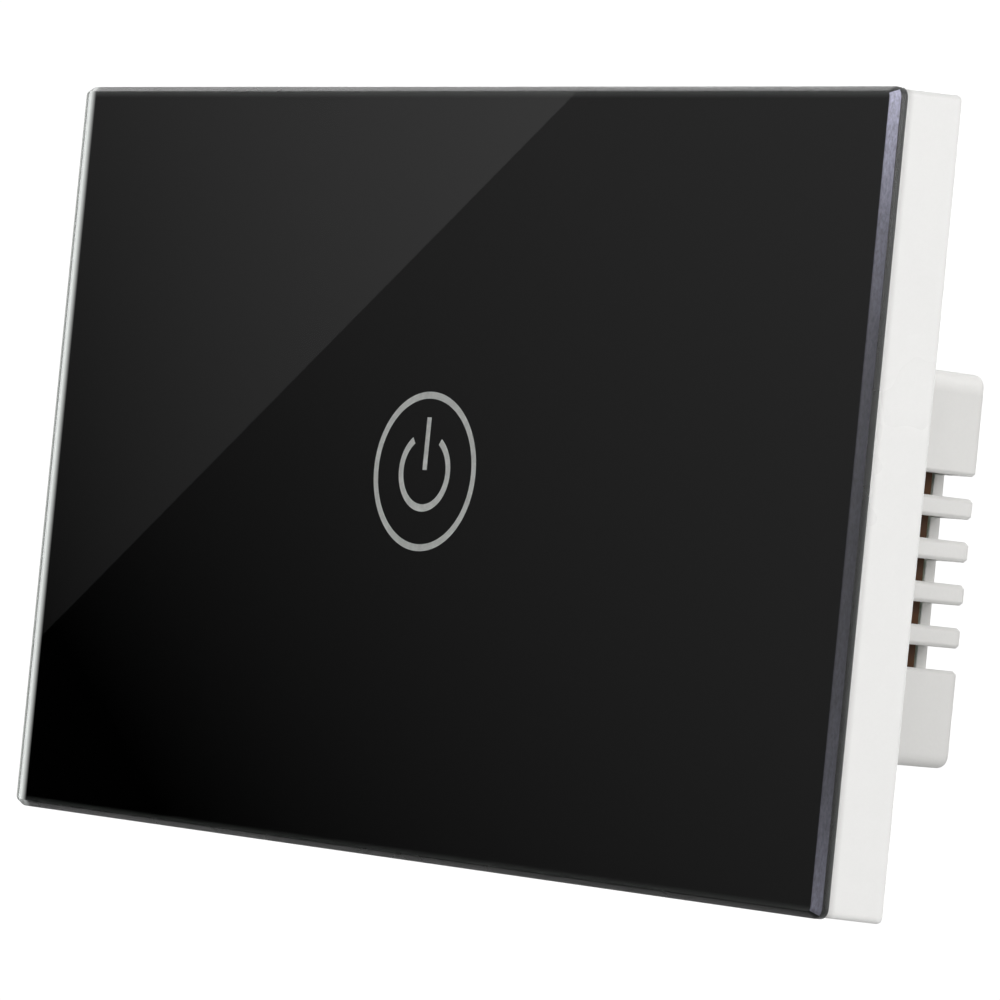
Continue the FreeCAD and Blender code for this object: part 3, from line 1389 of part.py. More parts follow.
def transformer_winding():
    """Coil of enamelled wire under yellow tape, wound round the centre leg."""
    body = new_body("transformer_winding")
    rear = -Sizes.core_lift - Sizes.core_bar - Sizes.winding_gap
    front = -Sizes.core_lift - Sizes.core_height + Sizes.core_bar + Sizes.winding_gap
    reach = Sizes.core_width / 2 - Sizes.core_leg - Sizes.winding_gap
    grow(body, "coil", "XZ_Plane", front, rear,
         rectangle(-reach, reach, -Sizes.winding_length / 2, Sizes.winding_length / 2))
    soften(body, "coil_bends", "Fillet", Sizes.winding_round, lambda edge: runs_along(edge, "y"))
    cut(body, "leg_hole", "XZ_Plane", front - CUT_MARGIN, rear + CUT_MARGIN,
        centred(0, 0, Sizes.core_centre_leg + Sizes.winding_gap * 2,
                Sizes.core_thickness + Sizes.winding_gap * 2))
    return on_transformer(body)


def transformer_base():
    body = new_body("transformer_base")
    grow(body, "base", "XZ_Plane", -Sizes.core_lift, ZERO,
         centred(0, 0, Sizes.bobbin_base_width, Sizes.bobbin_base_height))
    grow_leads(body, transformer_leads(), -Sizes.lead_start, ZERO)
    return on_transformer(body)


# Parts of the mains input and the low voltage supply

def smoothing_capacitors():
    body = new_body("smoothing_capacitors")
    radius = Sizes.capacitor_radius
    top = -Sizes.capacitor_height
    waist = radius - Sizes.crimp_depth
    can = turn(body, "can", "Revolution", "XY_Plane", "Y_Axis",
               polygon((0, -Sizes.crimp_depth), (waist, -Sizes.crimp_depth),
                       (radius, -Sizes.crimp_depth * 2), (radius, -Sizes.crimp_height),
                       (waist, -Sizes.crimp_height - Sizes.crimp_depth),
                       (radius, -Sizes.crimp_height - Sizes.crimp_depth * 2),
                       (radius, top + Sizes.capacitor_round),
                       (radius - Sizes.capacitor_round, top), (0, top)))
    leads = grow_leads(body, capacitor_leads(), -Sizes.lead_start, ZERO)
    repeat(body, "pair", [can, leads], "Z_Axis", CAPACITOR_SPACING, PAIR)
    return seat_on_power_board(body, CAPACITOR_ACROSS, Sizes.capacitor_up - CAPACITOR_SPACING)


def film_capacitor():
    body = new_body("film_capacitor")
    grow(body, "case", "XZ_Plane", -Sizes.film_height, ZERO,
         centred(0, 0, Sizes.film_width, Sizes.film_thickness))
    soften(body, "edges", "Fillet", Sizes.film_round, off_the_board)
    grow_leads(body, film_leads(), -Sizes.lead_start, ZERO)
    return seat_on_power_board(body, FILM_ACROSS, Sizes.film_up)


def varistor():
    body = new_body("varistor")
    half = Sizes.varistor_thickness / 2
    radius = Sizes.varistor_radius
    flat = radius - Sizes.varistor_round
    turn(body, "disc", "Revolution", "XY_Plane", "X_Axis",
         polygon((-half, 0), (-half, flat), (-half + Sizes.varistor_round, radius),
                 (half - Sizes.varistor_round, radius), (half, flat), (half, 0)))
    board = Sizes.varistor_lift + radius
    grow_leads(body, varistor_leads(), Sizes.lead_start, board)
    return place(body, VARISTOR_ACROSS, POWER_FRONT - board, Sizes.varistor_up)


def fuse():
    body = new_body("fuse")
    half = Sizes.fuse_length / 2
    cap = half - Sizes.fuse_cap_length
    rim = Sizes.fuse_cap_radius
    turn(body, "barrel", "Revolution", "XY_Plane", "X_Axis",
         polygon((-half, 0), (-half, rim), (-cap, rim), (-cap, Sizes.fuse_radius),
                 (cap, Sizes.fuse_radius), (cap, rim), (half, rim), (half, 0)))
    board = Sizes.fuse_lift + rim
    grow_leads(body, fuse_leads(), Sizes.lead_start, board)
    return place(body, CHOKE_ACROSS, POWER_FRONT - board, Sizes.fuse_up)


def choke():
    body = new_body("choke")
    flange = Sizes.choke_flange
    hub, rim = Sizes.choke_core_radius, Sizes.choke_radius
    top = -Sizes.choke_height
    turn(body, "drum", "Revolution", "XY_Plane", "Y_Axis",
         polygon((0, 0), (rim, 0), (rim, -flange), (hub, -flange), (hub, top + flange),
                 (rim, top + flange), (rim, top), (0, top)))
    grow_leads(body, choke_leads(), -Sizes.lead_start, ZERO)
    return seat_on_power_board(body, CHOKE_ACROSS, Sizes.choke_up)


def bridge_rectifier():
    body = new_body("bridge_rectifier")
    grow(body, "case", "XZ_Plane", -Sizes.rectifier_depth, ZERO,
         centred(0, 0, Sizes.rectifier_width, Sizes.rectifier_height))
    soften(body, "edges", "Chamfer", Sizes.film_round,
           lambda edge: near(edge.BoundBox.YMax, -Sizes.rectifier_depth))
    grow_leads(body, rectifier_leads(), -Sizes.lead_start, ZERO)
    return seat_on_power_board(body, RECTIFIER_ACROSS, Sizes.rectifier_up)


# The whole switch, in the order in which it is put together

def build_pieces():
    pieces = [
        rear_housing(), terminal_block(), terminal_bars(), power_board(), link_pins(), link_spacers(),
        relay_base(), relay_bobbin(), relay_winding(), relay_core(), fixed_contact(), relay_armature(),
        contact_blade(), relay_case(), transformer_base(), transformer_core(), transformer_winding(),
        smoothing_capacitors(), film_capacitor(), varistor(), fuse(), choke(), bridge_rectifier(),
        mounting_yoke(), insulating_sheet(), touch_board(), board_screws(), link_socket(),
        radio_module(), shield_can(), touch_chip(), status_led(), touch_spring(),
        panel_frame(), snap_hooks(), adhesive_tape(), diffuser_disc(), glass_panel(),
    ]
    for pole in range(1, int(Sizes.terminal_count.amount) + 1):
        pieces.append(terminal_screw(pole))
        pieces.append(clamp_cage(pole))
    doc.recompute()
    return pieces


# A pocket that takes away less than this, in cubic millimetres, has missed its piece
SMALLEST_CUT = 0.001


def check_features():
    """Stop when a feature failed, or when a pocket took nothing away."""
    for thing in doc.Objects:
        if "Invalid" in thing.State or "Error" in thing.State:
            raise RuntimeError(f"{thing.Label} did not build: {thing.State}")
        if thing.TypeId == "PartDesign::Pocket":
            before = thing.BaseFeature.Shape.Volume
            if not thing.Shape.Volume < before - SMALLEST_CUT:
                raise RuntimeError(f"{thing.Label} cuts nothing")


def write_pieces(pieces):
    for piece in pieces:
        if piece.Shape.isNull() or not piece.Shape.isValid():
            raise RuntimeError(f"{piece.Label} has no valid shape")
    os.makedirs("parts", exist_ok=True)
    for piece in pieces:
        piece.Shape.exportStep(f"parts/{piece.Label}.step")
        box = piece.Shape.BoundBox
        print(f"{piece.Label}: {len(piece.Shape.Solids)} solids, {box.XLength:.2f} x "
              f"{box.YLength:.2f} x {box.ZLength:.2f}, {len(piece.Shape.Faces)} faces")


pieces_of_the_switch = build_pieces()
check_features()
write_pieces(pieces_of_the_switch)
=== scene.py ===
import math

import bmesh
import bpy
from mathutils import Matrix, Vector


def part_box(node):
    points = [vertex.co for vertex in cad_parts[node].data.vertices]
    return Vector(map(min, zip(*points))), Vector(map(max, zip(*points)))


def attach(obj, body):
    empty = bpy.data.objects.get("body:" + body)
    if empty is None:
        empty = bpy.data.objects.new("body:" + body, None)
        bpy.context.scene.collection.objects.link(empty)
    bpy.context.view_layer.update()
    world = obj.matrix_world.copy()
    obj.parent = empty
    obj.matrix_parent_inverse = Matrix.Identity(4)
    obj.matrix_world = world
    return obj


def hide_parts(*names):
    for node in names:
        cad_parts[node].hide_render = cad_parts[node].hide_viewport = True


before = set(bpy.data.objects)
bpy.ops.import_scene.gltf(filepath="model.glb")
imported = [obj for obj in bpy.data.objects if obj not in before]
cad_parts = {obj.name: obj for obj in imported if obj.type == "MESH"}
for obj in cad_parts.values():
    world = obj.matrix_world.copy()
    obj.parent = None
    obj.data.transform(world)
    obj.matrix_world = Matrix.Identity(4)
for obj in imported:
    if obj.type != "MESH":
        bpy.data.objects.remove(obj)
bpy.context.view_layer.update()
MM = 0.001


# Rear housing
# Flange and box of the switch, one moulding in white plastic with a fine matt skin.
# Its arrises come from the tool with a small round, and its skin has the tool's spark-eroded grain.

def feed(tree, socket, source):
    """Join a socket to an output, or set it to a plain value."""
    if isinstance(source, bpy.types.NodeSocket):
        tree.links.new(source, socket)
    else:
        socket.default_value = source


def add_node(tree, kind, inputs=None, **settings):
    """Place a shader node with its settings, and feed its inputs."""
    made = tree.nodes.new("ShaderNode" + kind)
    for name, value in settings.items():
        setattr(made, name, value)
    for name, source in (inputs or {}).items():
        feed(tree, made.inputs[name], source)
    return made


def math_node(tree, operation, first, second=0.0, clamp=False):
    return add_node(tree, "Math", {0: first, 1: second}, operation=operation, use_clamp=clamp).outputs[0]


def plus(tree, first, second, clamp=False):
    return math_node(tree, "ADD", first, second, clamp)


def minus(tree, first, second):
    return math_node(tree, "SUBTRACT", first, second)


def times(tree, first, second):
    return math_node(tree, "MULTIPLY", first, second)


def remap(tree, value, low, high, new_low, new_high, clamp=True):
    made = add_node(tree, "MapRange", {"Value": value, "From Min": low, "From Max": high,
                                       "To Min": new_low, "To Max": new_high}, clamp=clamp)
    return made.outputs["Result"]


def noise(tree, place, scale, detail=2.0, roughness=0.5):
    made = add_node(tree, "TexNoise", {"Vector": place, "Scale": scale, "Detail": detail,
                                       "Roughness": roughness})
    return made.outputs["Fac"]


def spread(tree, noisy, low, high):
    """A noise stretched between two amounts; nearly all of its values lie from 0.3 to 0.7."""
    return remap(tree, noisy, 0.3, 0.7, low, high)


def mix_colour(tree, share, first, second, blend="MIX"):
    """The first colour, or the second one where the share is 1."""
    made = add_node(tree, "Mix", data_type="RGBA", blend_type=blend)
    feed(tree, made.inputs[0], share)
    feed(tree, made.inputs[6], first)
    feed(tree, made.inputs[7], second)
    return made.outputs[2]


def mix_amount(tree, share, first, second):
    """The first amount, or the second one where the share is 1."""
    made = add_node(tree, "Mix", data_type="FLOAT")
    feed(tree, made.inputs[0], share)
    feed(tree, made.inputs[2], first)
    feed(tree, made.inputs[3], second)
    return made.outputs[0]


def shaded(tree, colour, shade):
    """A colour made lighter or darker by an amount."""
    grey = add_node(tree, "CombineColor", {0: shade, 1: shade, 2: shade}).outputs[0]
    return mix_colour(tree, 1.0, colour, grey, "MULTIPLY")


def object_place(tree):
    return add_node(tree, "TexCoord").outputs["Object"]


def object_axes(tree):
    return add_node(tree, "SeparateXYZ", {"Vector": object_place(tree)}).outputs


def shader_group(name, inputs, outputs):
    """A node group with named sockets, and the sockets at its two ends."""
    group = bpy.data.node_groups.new(name, "ShaderNodeTree")
    for label, start in inputs.items():
        kind = "NodeSocketColor" if isinstance(start, tuple) else "NodeSocketFloat"
        group.interface.new_socket(name=label, in_out="INPUT", socket_type=kind).default_value = start
    for label, kind in outputs.items():
        group.interface.new_socket(name=label, in_out="OUTPUT", socket_type="NodeSocket" + kind)
    return group, group.nodes.new("NodeGroupInput").outputs, group.nodes.new("NodeGroupOutput").inputs


def use_group(tree, group, **inputs):
    """Place a node group; an underscore in a given name stands for a space in the socket's."""
    made = tree.nodes.new("ShaderNodeGroup")
    made.node_tree = group
    for name, source in inputs.items():
        feed(tree, made.inputs[name.replace("_", " ")], source)
    return made.outputs


SHARP_TURN = 0.85
NO_TURN = 0.995


def make_edge_finder():
    """White on the outside arrises of a piece, within a width."""
    group, given, result = shader_group("arris", {"Width": 0.0003}, {"Arris": "Float"})
    rounded = add_node(group, "Bevel", {"Radius": given["Width"]}, samples=4).outputs[0]
    flat = add_node(group, "NewGeometry").outputs["Normal"]
    turned = add_node(group, "VectorMath", {0: rounded, 1: flat}, operation="DOT_PRODUCT")
    feed(group, result["Arris"], remap(group, turned.outputs["Value"], NO_TURN, SHARP_TURN, 0.0, 1.0))
    return group


ARRIS = make_edge_finder()


SKIN_OUTPUTS = {"Colour": "Color", "Roughness": "Float", "Height": "Float"}


def close_skin(group, given, result, shade, change, height):
    """Feed a skin's outputs from its shade, its change of roughness and its height."""
    feed(group, result["Colour"], shaded(group, given["Colour"], shade))
    feed(group, result["Roughness"], plus(group, given["Roughness"], change, True))
    feed(group, result["Height"], height)
    return group


def make_moulded_skin():
    """Grain, faint flow marks and slightly polished arrises of a moulding, their colour scaled by Edge
    Shade; under 1 it paints them darker, painted shade.
    """
    flow_scale = 55.0
    flow_low, flow_high = 0.15, 0.85
    grain_shade = 0.008
    arris_polish = 0.12
    group, given, result = shader_group(
        "moulded_skin",
        {"Colour": (0.8, 0.8, 0.8, 1.0), "Grain": 3000.0, "Mottle": 0.04, "Roughness": 0.5,
         "Edge Width": 0.0003, "Edge Shade": 1.06}, SKIN_OUTPUTS)
    place = object_place(group)
    fine = noise(group, place, given["Grain"], 3.0, 0.6)
    flow = noise(group, place, flow_scale, 3.0, 0.55)
    edge = use_group(group, ARRIS, Width=given["Edge Width"])["Arris"]
    mottle = times(group, remap(group, flow, flow_low, flow_high, -0.9, 0.9), given["Mottle"])
    lift = times(group, minus(group, given["Edge Shade"], 1.0), edge)
    shade = plus(group, plus(group, mottle, 1.0), lift)
    shade = plus(group, shade, spread(group, fine, -grain_shade, grain_shade))
    change = remap(group, flow, flow_low, flow_high, 0.1, -0.1)
    change = minus(group, change, times(group, edge, arris_polish))
    return close_skin(group, given, result, shade, change, fine)


MOULDED_SKIN = make_moulded_skin()


def new_finish(name):
    """A material with its node tree and its one surface shader."""
    material = bpy.data.materials.new(name)
    material.use_nodes = True
    tree = material.node_tree
    return material, tree, tree.nodes["Principled BSDF"]


def bump(tree, height, depth, arris):
    """A normal from a height; depth and arris are in millimetres."""
    rounded = add_node(tree, "Bevel", {"Radius": arris * MM}, samples=6).outputs[0]
    made = add_node(tree, "Bump", {"Height": height, "Distance": depth * MM, "Normal": rounded})
    return made.outputs["Normal"]


def cover(tree, shader, colour, roughness, normal):
    """Feed a surface shader its colour, roughness and normal."""
    for socket, source in (("Base Color", colour), ("Roughness", roughness), ("Normal", normal)):
        feed(tree, shader.inputs[socket], source)


def moulding(name, colour, roughness, grain=2600.0, depth=0.006, mottle=0.05, arris=0.1,
             edge_shade=1.5):
    """Moulded plastic; depth and arris are in millimetres."""
    material, tree, shader = new_finish(name)
    skin = use_group(tree, MOULDED_SKIN, Colour=(*colour, 1.0), Grain=grain, Mottle=mottle,
                     Roughness=roughness, Edge_Width=arris * 2 * MM, Edge_Shade=edge_shade)
    cover(tree, shader, skin["Colour"], skin["Roughness"], bump(tree, skin["Height"], depth, arris))
    return material


def shade_share(tree, axis, start, stop):
    """Rises from 0 to 1 between two places along an axis, in millimetres."""
    return remap(tree, object_axes(tree)[axis], start * MM, stop * MM, 0.0, 1.0)


def shade_finish(material, share, amount):
    """Multiply a finish's colour by an amount where the share is 1."""
    tree = material.node_tree
    colour = tree.nodes["Principled BSDF"].inputs["Base Color"]
    old_colour = colour.links[0].from_socket if colour.links else tuple(colour.default_value)
    feed(tree, colour, shaded(tree, old_colour, mix_amount(tree, share, 1.0, amount)))


def settle(piece, body, slot, *materials):
    """Finish a new piece: its materials and the body it rides on. Its slot is not used."""
    for material in materials:
        piece.data.materials.append(material)
    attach(piece, body)
    return piece


def new_object(name, data):
    made = bpy.data.objects.new(name, data)
    bpy.context.scene.collection.objects.link(made)
    return made


def recast(node, name, move):
    """A new piece in the shape of a packed one; move gives every point its place, in millimetres."""
    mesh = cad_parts[node].data.copy()
    mesh.name = name
    mesh.materials.clear()
    for vertex in mesh.vertices:
        vertex.co = move(vertex.co / MM) * MM
    piece = new_object(name, mesh)
    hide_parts(node)
    return piece


NEAR = 0.02
VENT_END_PACKED = 27.95
VENT_END_SEEN = 28.45
VENT_LOW, VENT_HIGH = -14.5, 5.5
REAR_WALL = 30.0


def end_vents(point):
    """The slots turn round the corner and end a little sooner in the rear wall."""
    at_end = abs(abs(point.x) - VENT_END_PACKED) < NEAR and point.y > REAR_WALL
    if at_end and VENT_LOW < point.z < VENT_HIGH:
        point.x = math.copysign(VENT_END_SEEN, point.x)
    return point


# Painted light: the box is painted paler just under its top edge, a painted highlight, and a little darker
# low down, painted shade.
BOX_TOP = 13.95
BOX_FRONT = 1.5
PAINTED_HIGHLIGHT_BAND = 2.0
PAINTED_HIGHLIGHT_SHADE = 1.27
PAINTED_LOW_START, PAINTED_LOW_STOP = BOX_TOP - 14.0, BOX_TOP - 36.0
PAINTED_LOW_SHADE = 0.93

housing_plastic = moulding("housing_plastic", (0.775, 0.768, 0.75), roughness=0.46, depth=0.012, arris=0.3,
                           edge_shade=1.03)
housing_tree = housing_plastic.node_tree
# Painted highlight under the top edge, and painted shade low down.
near_top = shade_share(housing_tree, "Z", BOX_TOP - PAINTED_HIGHLIGHT_BAND, BOX_TOP - 0.3)
off_top_face = shade_share(housing_tree, "Z", BOX_TOP, BOX_TOP - 0.2)
behind_flange = shade_share(housing_tree, "Y", BOX_FRONT, BOX_FRONT + 2.5)
painted_highlight_share = times(housing_tree, times(housing_tree, near_top, off_top_face), behind_flange)
shade_finish(housing_plastic, painted_highlight_share, PAINTED_HIGHLIGHT_SHADE)
shade_finish(housing_plastic, shade_share(housing_tree, "Z", PAINTED_LOW_START, PAINTED_LOW_STOP), PAINTED_LOW_SHADE)
settle(recast("rear_housing", "moulded_housing", end_vents), "base", "housing_plastic", housing_plastic)


# Terminal block
# Dark grey moulding with three wells at the back, one for each house wire. It holds the bars,
# screws and cages, and shows through the bay in the rear wall.

def dress(material, *names):
    """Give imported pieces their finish."""
    for name in names:
        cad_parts[name].material_slots[0].material = material


terminal_plastic = moulding("terminal_plastic", (0.30, 0.31, 0.32), roughness=0.42, grain=2200.0,
                            depth=0.012, mottle=0.06, arris=0.15, edge_shade=1.12)
dress(terminal_plastic, "terminal_block")


# Terminal bars and clamp cages
# Strips of tinned brass soldered to the power board, and bent loops of plated steel that rise
# round them to grip the wire. The plating is bright with faint rolling lines.

def stretched(tree, place, scale):
    return add_node(tree, "Mapping", {"Vector": place, "Scale": scale}).outputs[0]


def make_metal_skin():
    """Rolling or turning lines, stains and worn bright arrises of a bare metal."""
    stain_scale = 260.0
    stain_low, stain_high = 0.35, 0.65
    arris_lift, arris_polish = 0.12, 0.08
    group, given, result = shader_group(
        "metal_skin",
        {"Colour": (0.7, 0.7, 0.7, 1.0), "Lines": 2500.0, "Across": 1.0, "Deep": 1.0, "Up": 1.0,
         "Stain": 0.1, "Roughness": 0.3, "Edge Width": 0.0001}, SKIN_OUTPUTS)
    place = object_place(group)
    scale = add_node(group, "CombineXYZ", {0: given["Across"], 1: given["Deep"], 2: given["Up"]}).outputs[0]
    lines = noise(group, stretched(group, place, scale), given["Lines"], 3.0, 0.65)
    cloud = noise(group, place, stain_scale, 4.0, 0.6)
    edge = use_group(group, ARRIS, Width=given["Edge Width"])["Arris"]
    stain = times(group, remap(group, cloud, stain_low, stain_high, -0.7, 0.5), given["Stain"])
    scratch = spread(group, lines, -0.05, 0.05)
    shade = plus(group, plus(group, stain, 1.0), scratch)
    shade = plus(group, shade, times(group, edge, arris_lift))
    change = plus(group, remap(group, cloud, stain_low, stain_high, 0.09, -0.04), scratch)
    change = minus(group, change, times(group, edge, arris_polish))
    return close_skin(group, given, result, shade, change, lines)


METAL_SKIN = make_metal_skin()


def metal(name, colour, roughness, lines=1500.0, along=(1.0, 1.0, 1.0), stain=0.1, arris=0.06,
          depth=0.003):
    """Bare or plated metal, with lines that run where along is small; depth and arris in millimetres."""
    material, tree, shader = new_finish(name)
    skin = use_group(tree, METAL_SKIN, Colour=(*colour, 1.0), Lines=lines, Across=along[0], Deep=along[1],
                     Up=along[2], Stain=stain, Roughness=roughness, Edge_Width=arris * 2 * MM)
    shader.inputs["Metallic"].default_value = 1.0
    cover(tree, shader, skin["Colour"], skin["Roughness"], bump(tree, skin["Height"], depth, arris))
    return material


tinned_brass = metal("tinned_brass", (0.80, 0.78, 0.72), roughness=0.28, lines=1800.0,
                     along=(1.0, 1.0, 0.08))
cage_steel = metal("cage_steel", (0.70, 0.70, 0.62), roughness=0.30, lines=1800.0, along=(0.08, 1.0, 1.0),
                   stain=0.14)
dress(tinned_brass, "terminal_bars")
dress(cage_steel, "clamp_cage_1", "clamp_cage_2", "clamp_cage_3")


# Terminal screws
# Three nickel plated screws with a crossed and slotted head, turned and thread rolled. Each one
# turns in its seat at the foot of the well and its thread runs in the cage.

def middle_of(node):
    """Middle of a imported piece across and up, in millimetres."""
    low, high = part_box(node)
    return (low.x + high.x) / 2 / MM, (low.z + high.z) / 2 / MM


def lofted(rings, caps=True):
    """Points and faces of a skin through rings that all have the same number of points."""
    count = len(rings[0])
    points = [point for ring in rings for point in ring]
    faces = []
    for row in range(len(rings) - 1):
        for place in range(count):
            following = (place + 1) % count
            faces.append((row * count + place, row * count + following,
                          (row + 1) * count + following, (row + 1) * count + place))
    if caps:
        faces.append(tuple(range(count)))
        faces.append(tuple(range(len(points) - count, len(points))))
    return points, faces


def round_ring(radius, depth, across, up, steps):
    """Points of a circle about a line parallel to Y."""
    return [(across + radius * math.cos(math.tau * step / steps), depth,
             up + radius * math.sin(math.tau * step / steps)) for step in range(steps)]


WELD_REACH = 0.0001


def build(name, *shapes, sharp=32.0):
    """One object from shapes in millimetres, smooth where its faces meet gently."""
    points, faces = [], []
    for shape_points, shape_faces in shapes:
        first = len(points)
        points.extend(Vector(point) * MM for point in shape_points)
        faces.extend(tuple(number + first for number in face) for face in shape_faces)
    mesh = bpy.data.meshes.new(name)
    mesh.from_pydata(points, [], faces)
    skin = bmesh.new()
    skin.from_mesh(mesh)
    bmesh.ops.remove_doubles(skin, verts=skin.verts, dist=WELD_REACH * MM)
    bmesh.ops.recalc_face_normals(skin, faces=skin.faces)
    for face in skin.faces:
        face.smooth = True
    for edge in skin.edges:
        edge.smooth = len(edge.link_faces) == 2 and edge.calc_face_angle() < math.radians(sharp)
    skin.to_mesh(mesh)
    skin.free()
    return new_object(name, mesh)


def cross_ring(reach, half, depth, across, up, steps):
    """A ring in the outline of a cross, with a point on every spoke of a round ring."""
    ring = []
    for step in range(steps):
        angle = math.tau * step / steps
        spoke_x, spoke_z = math.cos(angle), math.sin(angle)
        steep_x, steep_z = max(abs(spoke_x), 1e-6), max(abs(spoke_z), 1e-6)
        span = max(min(reach / steep_x, half / steep_z), min(half / steep_x, reach / steep_z))
        ring.append((across + span * spoke_x, depth, up + span * spoke_z))
    return ring


SCREW_STEPS = 48
SCREW_EDGE = 0.4


def screw_shape(across, up, head, shank, seat, crown, tip, pitch, recess, out):
    """Head with a crossed recess and a threaded shank; out is +1 where the head looks to +Y."""
    rings = []
    for reach, half, deep in ((0.12, 0.05, recess), (head * 0.42, 0.2, recess * 0.8),
                              (head * 0.62, 0.3, 0.04), (head * 0.65, 0.34, 0.0)):
        rings.append(cross_ring(reach, half, crown - out * deep, across, up, SCREW_STEPS))
    for radius, depth in ((head - SCREW_EDGE * 1.6, crown),
                          (head - SCREW_EDGE * 0.5, crown - out * SCREW_EDGE * 0.45),
                          (head, crown - out * SCREW_EDGE * 1.2), (head, seat + out * 0.1),
                          (head - 0.08, seat), (shank, seat)):
        rings.append(round_ring(radius, depth, across, up, SCREW_STEPS))
    root = shank * 0.8
    for turn in range(int(abs(seat - tip) / pitch)):
        level = seat - out * pitch * (turn + 0.25)
        for radius, share in ((root, 0.0), (root, 0.25), (shank, 0.5), (shank, 0.6)):
            rings.append(round_ring(radius, level - out * pitch * share, across, up, SCREW_STEPS))
    rings.append(round_ring(shank * 0.6, tip, across, up, SCREW_STEPS))
    return lofted(rings)


screw_steel = metal("screw_steel", (0.70, 0.69, 0.66), roughness=0.26, lines=3000.0,
                    along=(1.0, 0.15, 1.0), stain=0.08, arris=0.05)
for pole in (1, 2, 3):
    node = f"terminal_screw_{pole}"
    low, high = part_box(node)
    crown = high.y / MM
    shape = screw_shape(*middle_of(node), head=2.5, shank=1.5, seat=crown - 2.2, crown=crown,
                        tip=low.y / MM, pitch=0.5, recess=1.2, out=1)
    screw = build(f"clamp_screw_{pole}", shape)
    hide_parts(node)
    settle(screw, node, "screw_steel", screw_steel)


# Power board
# Brown paper laminate, the dark edge that shows through the vents, punched and notched round the
# terminal bay. Its back carries copper tracks under green lacquer and the solder of every lead.

def make_laminate():
    """Pressed paper or glass cloth: fibres that run along X, and clouds."""
    cloud_scale = 90.0
    group, given, result = shader_group(
        "laminate", {"Colour": (0.2, 0.1, 0.05, 1.0), "Fibre": 900.0, "Contrast": 0.2, "Roughness": 0.5},
        SKIN_OUTPUTS)
    place = object_place(group)
    fibres = noise(group, stretched(group, place, (0.25, 1.0, 1.0)), given["Fibre"], 4.0, 0.65)
    cloud = noise(group, place, cloud_scale, 2.0, 0.5)
    shade = times(group, spread(group, fibres, -1.0, 1.0), given["Contrast"])
    shade = plus(group, shade, spread(group, cloud, 0.92, 1.08))
    return close_skin(group, given, result, shade, spread(group, fibres, -0.08, 0.08), fibres)


LAMINATE = make_laminate()


SHEET_ARRIS = 0.08


def sheet_finish(name, colour, roughness, fibre, depth, contrast):
    """Laminate, pressed paper or lacquer; depth is in millimetres."""
    material, tree, shader = new_finish(name)
    sheet = use_group(tree, LAMINATE, Colour=(*colour, 1.0), Fibre=fibre, Contrast=contrast,
                      Roughness=roughness)
    normal = bump(tree, sheet["Height"], depth, SHEET_ARRIS)
    cover(tree, shader, sheet["Colour"], sheet["Roughness"], normal)
    return material


def is_over(tree, value, limit):
    return math_node(tree, "GREATER_THAN", value, limit)


def repaint_beyond(material, limit, colour, metallic, roughness):
    """Another colour for the part of a piece that lies beyond a depth, in millimetres."""
    tree = material.node_tree
    shader = tree.nodes["Principled BSDF"]
    beyond = is_over(tree, object_axes(tree)["Y"], limit * MM)
    old_colour = shader.inputs["Base Color"].links[0].from_socket
    old_roughness = shader.inputs["Roughness"].links[0].from_socket
    feed(tree, shader.inputs["Base Color"], mix_colour(tree, beyond, old_colour, (*colour, 1.0)))
    feed(tree, shader.inputs["Roughness"], mix_amount(tree, beyond, old_roughness, roughness))
    if metallic:
        feed(tree, shader.inputs["Metallic"], beyond)


board_low, board_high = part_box("power_board")
BOARD_FRONT = board_low.y / MM
BOARD_BACK = board_high.y / MM
BOARD_SIDE_PACKED = board_high.x / MM
BOARD_SIDE_SEEN = 30.0
LACQUER_GREEN = (0.035, 0.10, 0.03)

paper_laminate = sheet_finish("paper_laminate", (0.071, 0.028, 0.0085), roughness=0.6, fibre=900.0,
                              depth=0.006, contrast=0.2)
paper_laminate.node_tree.nodes["Principled BSDF"].inputs["Specular IOR Level"].default_value = 0.25
repaint_beyond(paper_laminate, BOARD_BACK - NEAR, LACQUER_GREEN, metallic=False, roughness=0.3)


def trim_board(point):
    """The board's ends stand a little farther in from the side walls."""
    if abs(point.x) > BOARD_SIDE_PACKED - NEAR:
        point.x = math.copysign(BOARD_SIDE_SEEN, point.x)
    return point


settle(recast("power_board", "trimmed_board", trim_board), "base", "paper_laminate", paper_laminate)

LEAD_SPREAD = 1.2
BAR_SPREAD = 2.6
LEAD_FOOT = 0.78
PIN_FOOT = 0.5
LEADED = ("relay_base", "transformer_base", "smoothing_capacitors", "film_capacitor", "varistor",
          "fuse", "choke", "bridge_rectifier", "link_pins", "terminal_bars")


def lead_tips(name, reach):
    """Middle and half size of each lead that stands out behind the power board."""
    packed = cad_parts[name]
    tips = []
    for vertex in packed.data.vertices:
        point = packed.matrix_world @ vertex.co / MM
        if point.y < BOARD_BACK + 0.3:
            continue
        for tip in tips:
            if abs(tip[0][0] - point.x) < reach and abs(tip[0][1] - point.z) < reach:
                tip.append((point.x, point.z))
                break
        else:
            tips.append([(point.x, point.z)])
    found = []
    for tip in tips:
        across, up = zip(*tip)
        found.append(((min(across) + max(across)) / 2, (min(up) + max(up)) / 2,
                      (max(across) - min(across)) / 2, (max(up) - min(up)) / 2))
    return found


SOLDER_PROFILE = ((1.0, 0.0), (0.95, 0.06), (0.58, 0.2), (0.31, 0.42), (0.15, 0.6), (0.08, 0.64))


def solder_shape(across, up, half_x, half_z, foot, steps=20):
    """A cone of solder with hollow flanks round one lead; its rings are shares of the foot."""
    rings = []
    for share, rise in SOLDER_PROFILE:
        reach_x, reach_z = half_x + foot * share, half_z + foot * share
        rings.append([(across + reach_x * math.cos(math.tau * step / steps), BOARD_BACK + rise,
                       up + reach_z * math.sin(math.tau * step / steps)) for step in range(steps)])
    return lofted(rings)


